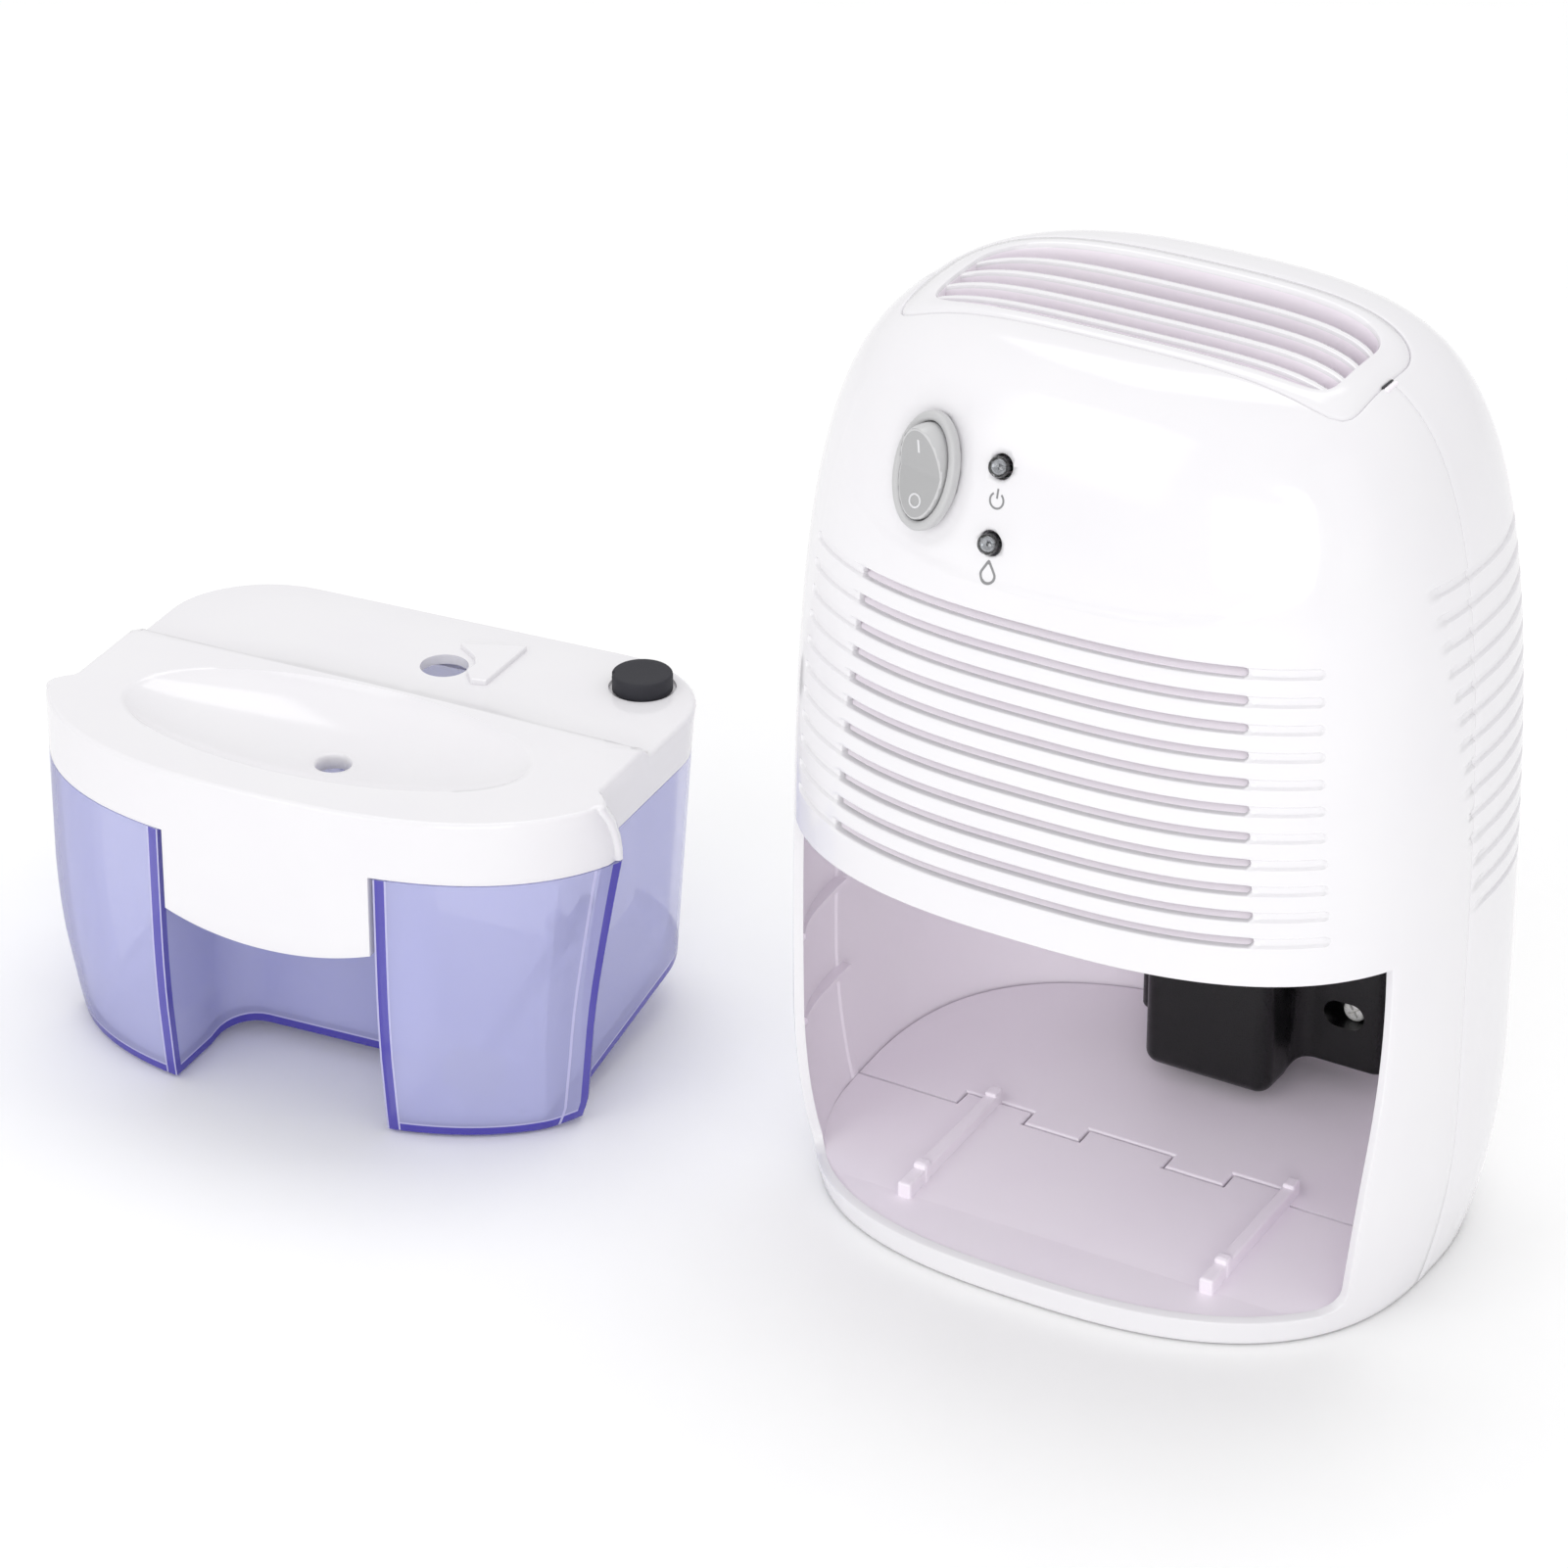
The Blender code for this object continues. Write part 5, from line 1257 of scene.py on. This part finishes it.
def sensor_cover():
    """Snug moulded cover with soft edges, flowing into the ear that its screw holds."""
    plan = cover_plan()
    count = len(plan)
    ring = plan[-1:] + plan + plan[:1]
    normals = []
    for before, after in zip(ring, ring[2:]):
        run = (after - before).normalized()
        normals.append(Vector((run.y, -run.x)))
    steps = 6

    def place(i, j):
        p, out = plan[i], normals[i]
        deep = smooth(p.y, COVER_FRONT + 0.009, COVER_EARS_FRONT)
        low = mix(COVER_Z[0], COVER_EARS_Z[0], deep)
        high = mix(COVER_Z[1], COVER_EARS_Z[1], deep)
        r = mix(0.0034, 0.0012, deep)
        if j <= steps:
            a = math.pi / 2 * j / steps
            z, inset = low + r * (1 - math.cos(a)), r * (1 - math.sin(a))
        else:
            a = math.pi / 2 * (j - steps - 1) / steps
            z, inset = high - r * (1 - math.sin(a)), r * (1 - math.cos(a))
        y = min(p.y - out.y * inset, COVER_BACK)
        return Vector((p.x - out.x * inset, y, z))

    bm = lattice(count, 2 * steps + 1, place, around=True)
    close(bm)
    shade(bm, True)
    thing = piece("cover_moulding", bm, [BLACK], "housing", stands_for=["sensor_cover"])
    low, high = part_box("sensor_cover_screw")
    x, z = (low.x + high.x) / 2, (low.z + high.z) / 2
    wide, tall = COVER_SLOT
    tool = lathe([(0, 0.008), (tall, 0.008), (tall, 0), (0, 0)], 40)
    for vert in tool.verts:
        vert.co.x += math.copysign(wide - tall, vert.co.x) - 0.0015
    tool.transform(end_on(x, COVER_BACK - 0.0025, z, 1))
    cut(thing, as_mesh(tool))
    crease(thing, 60)
    cross_screw("cover_screw_head", Vector((x, low.y, z)) + Vector(COVER_SCREW_SHIFT),
                ["sensor_cover_screw"])


def cross_screw(name, face, stands_for):
    """Pan-head screw with a cross recess, seen end on from -Y."""
    r = 0.0028
    bm = lathe([(0, 0)] + arc(r - 0.0009, -0.0009, 0.0009, 90, 0, 4) + [(r, -0.0018), (0.0015, -0.0018),
               (0.0015, -0.0075), (0, -0.0078)], 40)
    place = end_on(*face, 1)
    thing = piece(name, bm, [SCREW], "housing", place, stands_for)
    for turn in (35, 125):
        blade = bmesh.new()
        block(blade, (-0.0017, -0.0003, -0.0011), (0.0017, 0.0003, 0.001))
        blade.transform(place @ Matrix.Rotation(math.radians(turn), 4, "Z"))
        cut(thing, as_mesh(blade))
    crease(thing, 35)


# ---------------------------------------------------------------- tank

def wing_half(z):
    """Half width over the wings, which lean in at the lid."""
    joint = TANK_HEIGHT - SKIRT
    lean = WING_LEAN * max((z - joint) / SKIRT, 0) ** 2
    tuck = WING_TUCK * max(1 - z / 0.012, 0) ** 2
    return WING[0] + WING[1] * min(z, joint) - lean - tuck


def side_half(z):
    return SIDE[0] + SIDE[1] * z


def mirrored(half):
    """Closed plan from its right half, which runs from the front's middle to the rear's middle."""
    return half + [Vector((-p.x, p.y)) for p in half[-2:0:-1]]


def rear_half(side, rear, straight_from, steps=14):
    """Right side of the tank, its round rear corner and half of its rear wall."""
    wide, deep = 0.026, 0.024
    points = [Vector((side, mix(straight_from, rear - deep, (k + 1) / steps))) for k in range(steps)]
    for k in range(steps):
        a = math.pi / 2 * (k + 1) / steps
        points.append(Vector((side - wide + wide * math.cos(a), rear - deep + deep * math.sin(a))))
    points += [Vector((mix(side - wide, 0, (k + 1) / steps), rear)) for k in range(steps)]
    return points


def reservoir_half(z, inset=0.0, wings=True):
    """Right half of the reservoir's plan at a level, from the recess's rear wall round to the rear."""
    bay_z = z + TANK_RAISE
    half = wing_half(z)
    side = side_half(z) - inset
    near, rear, r = RECESS_HALF + inset, RECESS_REAR + inset, RECESS_ROUND
    points = [Vector((mix(0, near - r, k / 8), rear)) for k in range(9)]
    for k in range(8):
        a = math.pi / 2 * (1 - (k + 1) / 8)
        points.append(Vector((near - r + r * math.cos(a), rear - r + r * math.sin(a))))
    mouth = front_y(near, bay_z) + inset
    for k in range(6):
        points.append(Vector((near, mix(rear - r, mouth + 0.0026, (k + 1) / 6))))
    points += [Vector((near, mouth + 0.0022)), Vector((near, mouth))]
    reach = half if wings else side
    xs = [near + s for s in FRONT_STEPS[1:]]
    xs += [mix(near + FRONT_STEPS[-1], reach - WING_STEPS[0], (k + 1) / 26) for k in range(26)]
    xs += [reach - s for s in WING_STEPS[1:]]
    points += [Vector((x, front_y(x, bay_z) + inset)) for x in xs]
    edge = points[-1].y
    if wings:
        points += [Vector((half - 0.0001, edge + 0.0004)), Vector((half - 0.0008, edge + 0.0022)),
                   Vector((side, edge + 0.0065))]
    return points + rear_half(side, TANK_REAR - inset, edge + (0.0069 if wings else 0.001))


def under(y, lift=0.0):
    """Height of the tank's underside, which rises to the rear."""
    return lift + TANK_BEND_SLOPE * max(y - TANK_BEND_Y, 0)


def tank_prism(low_of, top, inset, wings, rows):
    """Closed solid inside the reservoir's plan, and its count of columns.

    Its rows stand at heights over the underside; from 1 up they are shares of the way from there
    to the top.
    """
    count = len(mirrored(reservoir_half(0.01, inset, wings)))

    def place(i, j):
        share = rows[j - 1] if j else 0
        z = 0.001
        for _ in range(3):
            p = tank_plan(z, inset + (0 if j else FOOT_ROUND), wings)[i]
            base = low_of(p.y)
            z = min(base + share, top) if share < 0.02 else mix(base + 0.02, top, share - 1)
        return Vector((p.x, p.y, z))

    bm = lattice(count, len(rows), place, around=True)
    close(bm)
    return bm, count


PLANS = {}


def tank_plan(z, inset, wings):
    """The reservoir's whole plan at a level."""
    key = (round(z, 7), round(inset, 5), wings)
    if key not in PLANS:
        PLANS[key] = mirrored(reservoir_half(z, inset, wings))
    return PLANS[key]


def reservoir():
    """Tinted tank: frosted windows; its edges and foot carry a deep tint of painted shade and lines of
    painted highlight.
    """
    top = TANK_HEIGHT - SKIRT - 0.0003
    rows = [FOOT_ROUND, 0.0026, 0.0030, 0.0050, 0.0199] + [1 + k / 8 for k in range(9)]
    bm, count = tank_prism(under, top, 0.0, True, rows)
    column, row = bm.verts.layers.int["column"], bm.verts.layers.int["row"]
    half = count // 2
    for face in bm.faces:
        face.smooth = True
        if len(face.verts) > 4:
            face.material_index = 1 if face.normal.z < 0 else 0
            continue
        columns = sorted({v[column] % count for v in face.verts})
        i = columns[0] if columns[-1] - columns[0] < half else columns[-1]
        i = i if i < half else count - 1 - i
        j = min(v[row] for v in face.verts)
        # the listed columns and the foot's rows take the deep tint of painted shade or the bright line
        # of painted highlight
        tone = PAINTED_TONE_COLUMNS.get(i, 0)
        if j < 2 and tone != 2:
            tone = 1
        elif j == 2 and tone == 0:
            tone = 2
        face.material_index = tone
    thing = piece("reservoir_moulding", bm, [WINDOW, EDGE, LINE], "tank", TANK,
                  ["reservoir"])
    inner, _ = tank_prism(lambda y: under(y, TANK_WALL), top + 0.01, TANK_WALL, False,
                          [0.0030, 0.0199] + [1 + k / 4 for k in range(5)])
    inner.transform(TANK)
    hollow = piece("hollow", inner, [WINDOW], "tank")
    x0, x1 = ALCOVE_X
    for grow, target in ((0.0, thing), (TANK_WALL, hollow)):
        alcove = slab((x0 - grow, ALCOVE_FRONT - grow, -0.01), (x1 + grow, 0.09, ALCOVE_HEAD + grow),
                      0.003)
        alcove.transform(TANK)
        cut(target, alcove)
        for side in (-1, 1):
            x, wide = side * RAIL_X, GUIDE_HALF + 0.7 * grow
            groove = slab((x - wide, GUIDE_FRONT - 0.7 * grow, -0.01),
                          (x + wide, 0.03, GUIDE_HEAD + 0.7 * grow))
            groove.transform(TANK)
            cut(target, groove)
    space = hollow.data.copy()
    bpy.data.objects.remove(hollow, do_unlink=True)
    cut(thing, space)
    crease(thing, 32)
    bm = bmesh.new()
    for side in (-1, 1):
        x = LUG_X + side * LUG_SPREAD
        block(bm, (x - 0.0010, 0.0040, 0.0085), (x + 0.0010, 0.0100, 0.0270), 0.0003)
    piece("float_lugs", bm, [WINDOW], "tank", TANK)


# ---------------------------------------------------------------- lid

def step_y(x):
    return STEP_LINE[0] + STEP_LINE[1] * x


def top_z(x, y):
    """The lid's top: raised in front of the step line, with a short slope behind it."""
    return TANK_HEIGHT - DECK_DROP * smooth(y - step_y(x), 0.0, 0.0026)


def lid_half(z, inset=0.0):
    """Right half of the lid's plan at a level, from the front's middle to the rear's middle."""
    bay_z = z + TANK_RAISE
    half = wing_half(z) - inset
    side = side_half(z) - inset
    xs = [mix(0, TONGUE_HALF, k / 16) for k in range(17)]
    xs += [mix(TONGUE_HALF, half - 0.0016, (k + 1) / 26) for k in range(26)]
    points = [Vector((x, front_y(x, bay_z) + inset)) for x in xs]
    tip = front_y(wing_half(z), bay_z)
    edge = tip + inset * 0.5
    for k in range(6):
        a = math.radians(mix(-80, 5, k / 5))
        points.append(Vector((half - LID_CORNER + LID_CORNER * math.cos(a),
                              edge + 0.0004 + LID_CORNER * math.sin(a))))
    points += [Vector((mix(half, side, s), edge + 0.0004 + d)) for s, d in
               ((0.10, 0.0016), (0.45, 0.0034), (0.85, 0.0048), (1.0, 0.0064))]
    return points + rear_half(side, TANK_REAR - inset, edge + 0.0072, 16)


LIDS = {}


def lid_plan(z, inset=0.0):
    """The lid's whole plan at a level."""
    key = (round(z, 6), round(inset, 6))
    if key not in LIDS:
        LIDS[key] = mirrored(lid_half(z, inset))
    return LIDS[key]


def bowl_z(share):
    """Depth profile of the basin, by share of its half sizes."""
    tall = BASIN_DEPTH + BOWL_LIFT
    spread = 1 / math.sqrt(1 - (BOWL_LIFT / tall) ** 2)
    return BOWL_LIFT - tall * math.sqrt(max(1 - (share / spread) ** 2, 0))


def tank_lid():
    """Lid with a basin that drains into the tank, a lower rear deck and a tongue over the recess."""
    base = lid_plan(TANK_HEIGHT)
    count = len(base)
    centre = Vector((0, BASIN_Y))
    a, b = BASIN_HALF
    low = TANK_HEIGHT - SKIRT
    bowl = [1.0, 0.985, 0.965, 0.93, 0.88, 0.81, 0.72, 0.60, 0.46, 0.34, 0.26]
    hole = [(DRAIN_FLARE, 0.00035), (0.0043, 0.0001), (DRIP_RADIUS, -0.0006), (DRIP_RADIUS, -0.0032)]
    edge = [(TOP_ROUND * (1 - math.sin(t)), TOP_ROUND * (1 - math.cos(t)))
            for t in (math.radians(d) for d in (0, 22, 45, 67, 90))]
    skirt = [0.0045, 0.0090, 0.0125]
    tongue = [0.0, 0.0040, 0.0100, 0.0160]
    land = 11
    rows = [("hole", radius, lift) for radius, lift in hole[::-1]]
    rows += [("bowl", s) for s in bowl[::-1]]
    rows += [("land", k) for k in range(1, land)]
    rows += [("edge",) + pair for pair in edge]
    rows += [("skirt", d) for d in skirt]
    rows += [("down", d) for d in tongue] + [("down", low - TONGUE_LOW)]

    def ray(i):
        """Direction of a column from the basin's centre, and its points on the rim and the outline."""
        outer = lid_plan(TANK_HEIGHT, TOP_ROUND)[i]
        way = outer - centre
        k = math.hypot(way.x / a, way.y / b)
        return way, centre + way / k + Vector(BASIN_SHIFT), outer

    def place(i, j):
        kind = rows[j]
        way, rim, outer = ray(i)
        if kind[0] == "hole":
            unit = way.normalized()
            p = centre + unit * kind[1]
            return Vector((p.x, p.y, TANK_HEIGHT + bowl_z(DRAIN_FLARE / a) + kind[2]))
        if kind[0] == "bowl":
            p = centre + (rim - centre) * kind[1]
            near = centre + way.normalized() * DRAIN_FLARE
            fade = smooth(kind[1], 0.05, 0.5)
            if kind[1] < 0.5:
                p = near.lerp(p, max(fade, 0.12))
            middle = centre + Vector(BASIN_SHIFT) * kind[1]
            share = math.hypot((p.x - middle.x) / a, (p.y - middle.y) / b)
            return Vector((p.x, p.y, TANK_HEIGHT + bowl_z(share)))
        if kind[0] == "land":
            p = land_point(rim, outer, kind[1], land)
            return Vector((p.x, p.y, top_z(p.x, p.y)))
        if kind[0] == "edge":
            p = lid_plan(TANK_HEIGHT, kind[1])[i]
            return Vector((p.x, p.y, top_z(p.x, p.y) - kind[2]))
        if kind[0] == "skirt":
            q = base[i]
            high = top_z(q.x, q.y) - TOP_ROUND
            z = mix(high, low, kind[1] / SKIRT)
            p = lid_plan(z)[i]
            return Vector((p.x, p.y, z))
        sag = TONGUE_SAG * max(1 - (outer.x / TONGUE_HALF) ** 2, 0)
        z = low - kind[1] * (1 + sag / (low - TONGUE_LOW))
        p = lid_plan(z)[i]
        return Vector((p.x, p.y, z))

    last = len(rows) - 1
    bm = lattice(count, last, place, around=True)
    first_down = next(k for k, r in enumerate(rows) if r[0] == "down")
    tongue_columns = 16

    def gone(i, j):
        i = min(i, count - 1 - i)
        return j >= first_down and i >= tongue_columns

    drop(bm, gone)
    inner = {}
    for i in range(count + 1):
        for j in range(last + 1):
            kind = rows[j]
            p = place(i % count, j)
            if kind[0] in ("hole", "bowl"):
                q = Vector((p.x, p.y, p.z - LID_FLOOR))
                if kind[0] == "hole":
                    unit = Vector((p.x - centre.x, p.y - centre.y)).normalized() * 0.0056
                    foot = place(i % count, 3).z - 0.0022
                    q = Vector((centre.x + unit.x, centre.y + unit.y, min(p.z - 0.0002, foot)))
            elif kind[0] == "land":
                q = Vector((p.x, p.y, p.z - LID_WALL))
            elif kind[0] == "edge":
                shift = lid_plan(TANK_HEIGHT, LID_WALL)[i % count]
                q = Vector((shift.x, shift.y, top_z(p.x, p.y) - LID_WALL - 0.0001 * kind[2] / TOP_ROUND))
            else:
                shift = lid_plan(p.z, LID_WALL)[i % count]
                q = Vector((shift.x, shift.y, p.z))
            inner[i, j] = q
    tidy(bm)
    thick(bm, inner, inner_material=0, edge=0.0003)
    thing = piece("lid_moulding", bm, [WHITE], "lid", TANK, ["tank_lid"])
    cut_lid(thing)
    crease(thing, 50)


def land_point(rim, outer, k, land):
    """Point between the basin's rim and the outline, closer where the surface bends."""
    run = outer - rim
    start, end = rim.y - step_y(rim.x), outer.y - step_y(outer.x)
    if start < 0 < end:
        cross = start / (start - end)
    else:
        cross = 1.0
    rise = max(end - start, 1e-6)
    width = 0.0026 / rise if start < 0 < end else 0.0
    before = min(cross, 0.93)
    after = min(cross + width, 0.97)
    marks = [0.0, 0.06, 0.16, 0.45, 0.75, 1.0]
    if k <= 5:
        share = before * marks[k]
    elif k <= 8:
        share = mix(before, after, (k - 5) / 3)
    else:
        share = mix(after, 1.0, (k - 8) / (land - 8))
    return rim + run * share


def cut_lid(thing):
    deck = TANK_HEIGHT - DECK_DROP
    vx, vy = VENT_PLACE
    px, py = PLUG_PLACE
    bridge()
    for x, y, radius, z in ((vx, vy, VENT_RADIUS, 0.06), (px, py, PLUG_RADIUS + 0.0008, deck - 0.0008),
                            (px, py, PLUG_RADIUS - 0.0009, 0.06)):
        tool = lathe([(0, 0.1), (radius, 0.1), (radius, z), (0, z)], 56)
        tool.transform(TANK @ Matrix.Translation((x, y, 0)))
        cut(thing, as_mesh(tool))


def bridge():
    """Low flat bridge that runs from beside the vent towards the rear edge."""
    deck = TANK_HEIGHT - DECK_DROP
    outline = [(0.0040, 0.0283), (0.0189, 0.0337), (0.0184, 0.0136), (0.0148, 0.0128), (0.0116, 0.0170),
               (0.0120, 0.0205), (0.0103, 0.0236), (0.0075, 0.0258)]
    bm = bmesh.new()
    outline_face(bm, outline, deck - 0.0006)
    face_out(bm)
    made = bmesh.ops.extrude_face_region(bm, geom=bm.faces[:], use_keep_orig=True)
    for vert in (v for v in made["geom"] if isinstance(v, bmesh.types.BMVert)):
        vert.co.z = deck + 0.0013
    face_out(bm)
    bmesh.ops.bevel(bm, geom=bm.edges[:], offset=0.0004, segments=2, profile=0.5, affect="EDGES",
                    material=-1, clamp_overlap=True)
    piece("vent_bridge", bm, [WHITE], "lid", TANK)


def drain_plug():
    """Rubber plug with a finger nick in its side."""
    deck = TANK_HEIGHT - DECK_DROP
    x, y = PLUG_PLACE
    r, proud = PLUG_RADIUS, 0.0043
    neck = r - 0.0012
    bm = lathe([(0, proud - 0.0002), (r - 0.0022, proud - 0.0001)]
               + arc(r - 0.0007, proud - 0.0007, 0.0007, 90, 0, 5)
               + arc(r - 0.0003, 0.0003, 0.0003, 0, -90, 2)
               + [(neck, 0), (neck, -0.0050), (0, -0.0050)], 64)
    place = TANK @ Matrix.Translation((x, y, deck - 0.0005))
    thing = piece("plug_moulding", bm, [RUBBER], "plug", place, ["drain_plug"])
    tool = lathe([(0, 0.01), (0.0011, 0.01), (0.0011, -0.01), (0, -0.01)], 24)
    tool.transform(place @ Matrix.Rotation(math.radians(205), 4, "Z")
                   @ Matrix.Translation((r + 0.0002, 0, 0)))
    cut(thing, as_mesh(tool))
    crease(thing, 50)


front_shell()
rear_shell()
bay_floor(-1)
bay_floor(1)
rails()
wall_ledges()
louvre_vanes()
grille_frame()
grille_slats()
grille_latch()
switch_bezel()
rocker()
rocker_marks()
for led, level in LED_ZS.items():
    indicator(led, level)
printed_marks()
sensor_cover()
reservoir()
tank_lid()
drain_plug()


# ---------------------------------------------------------------- carried-over nodes

FINISHES = {
    "white_abs": WHITE, "black_abs": BLACK, "black_rubber": RUBBER, "grey_plastic": BEZEL,
    "pale_grey_plastic": ROCKER, "clear_epoxy": EPOXY, "blue_violet_styrene": WINDOW,
    "zinc_plated_steel": ZINC, "aluminium": ALUMINIUM, "white_ceramic": CERAMIC,
    "circuit_board": BOARD, "lead_sheath": SHEATH, "grey_foam": FOAM}
for part in frame["record"]["subparts"]:
    solid = frame["nodes"][part["node"]]
    solid.data.materials.clear()
    solid.data.materials.append(FINISHES[part["material_slot"]])
frame["nodes"]["float_arm"].data.materials[0] = ARM_PAINTED_SHADE


# ---------------------------------------------------------------- floor, light and camera

def stage_floor():
    bm = bmesh.new()
    bmesh.ops.create_grid(bm, x_segments=1, y_segments=1, size=6)
    mesh = bpy.data.meshes.new("floor")
    bm.to_mesh(mesh)
    bm.free()
    mesh.materials.append(surface("pale_floor", "#FFFFFF", 0.6, 4.0, 0.000001, "#FDFDFD"))
    floor = bpy.data.objects.new("floor", mesh)
    bpy.context.scene.collection.objects.link(floor)
    floor.location = (0, 0, -0.0004)


def lamp(name, place, target, size, power):
    light = bpy.data.lights.new(name, "AREA")
    light.shape = "RECTANGLE"
    light.size, light.size_y = size
    light.energy = power
    made = bpy.data.objects.new(name, light)
    made.location = place
    made.rotation_euler = (Vector(target) - Vector(place)).to_track_quat("-Z", "Y").to_euler()
    bpy.context.scene.collection.objects.link(made)


stage_floor()
lamp("key_softbox", (-0.7, -1.7, 1.1), (0, 0, 0.08), (1.0, 1.2), 4.2)
lamp("front_fill", (0.6, -1.35, 0.42), (0, 0, 0.05), (0.9, 0.5), 4.4)
lamp("right_softbox", (1.6, -0.5, 0.8), (0, 0, 0.1), (0.8, 1.4), 1.0)
lamp("top_softbox", (-0.3, 0.5, 1.7), (-0.05, 0, 0.1), (1.2, 0.8), 6)

world = bpy.data.worlds.new("studio")
world.use_nodes = True
world.node_tree.nodes["Background"].inputs["Color"].default_value = (1, 1, 1, 1)
world.node_tree.nodes["Background"].inputs["Strength"].default_value = 0.82
bpy.context.scene.world = world
bpy.context.scene.view_settings.view_transform = "Standard"

camera = bpy.data.cameras.new("camera")
camera.lens = 139.376
camera.sensor_width = 36
camera.clip_end = 20
eye = bpy.data.objects.new("camera", camera)
eye.location = (0.53218, -1.02952, 0.71982)
aim = Vector((-0.09376, 0, 0.07499))
eye.rotation_euler = (aim - eye.location).to_track_quat("-Z", "Y").to_euler()
bpy.context.scene.collection.objects.link(eye)
bpy.context.scene.camera = eye

bpy.context.view_layer.update()
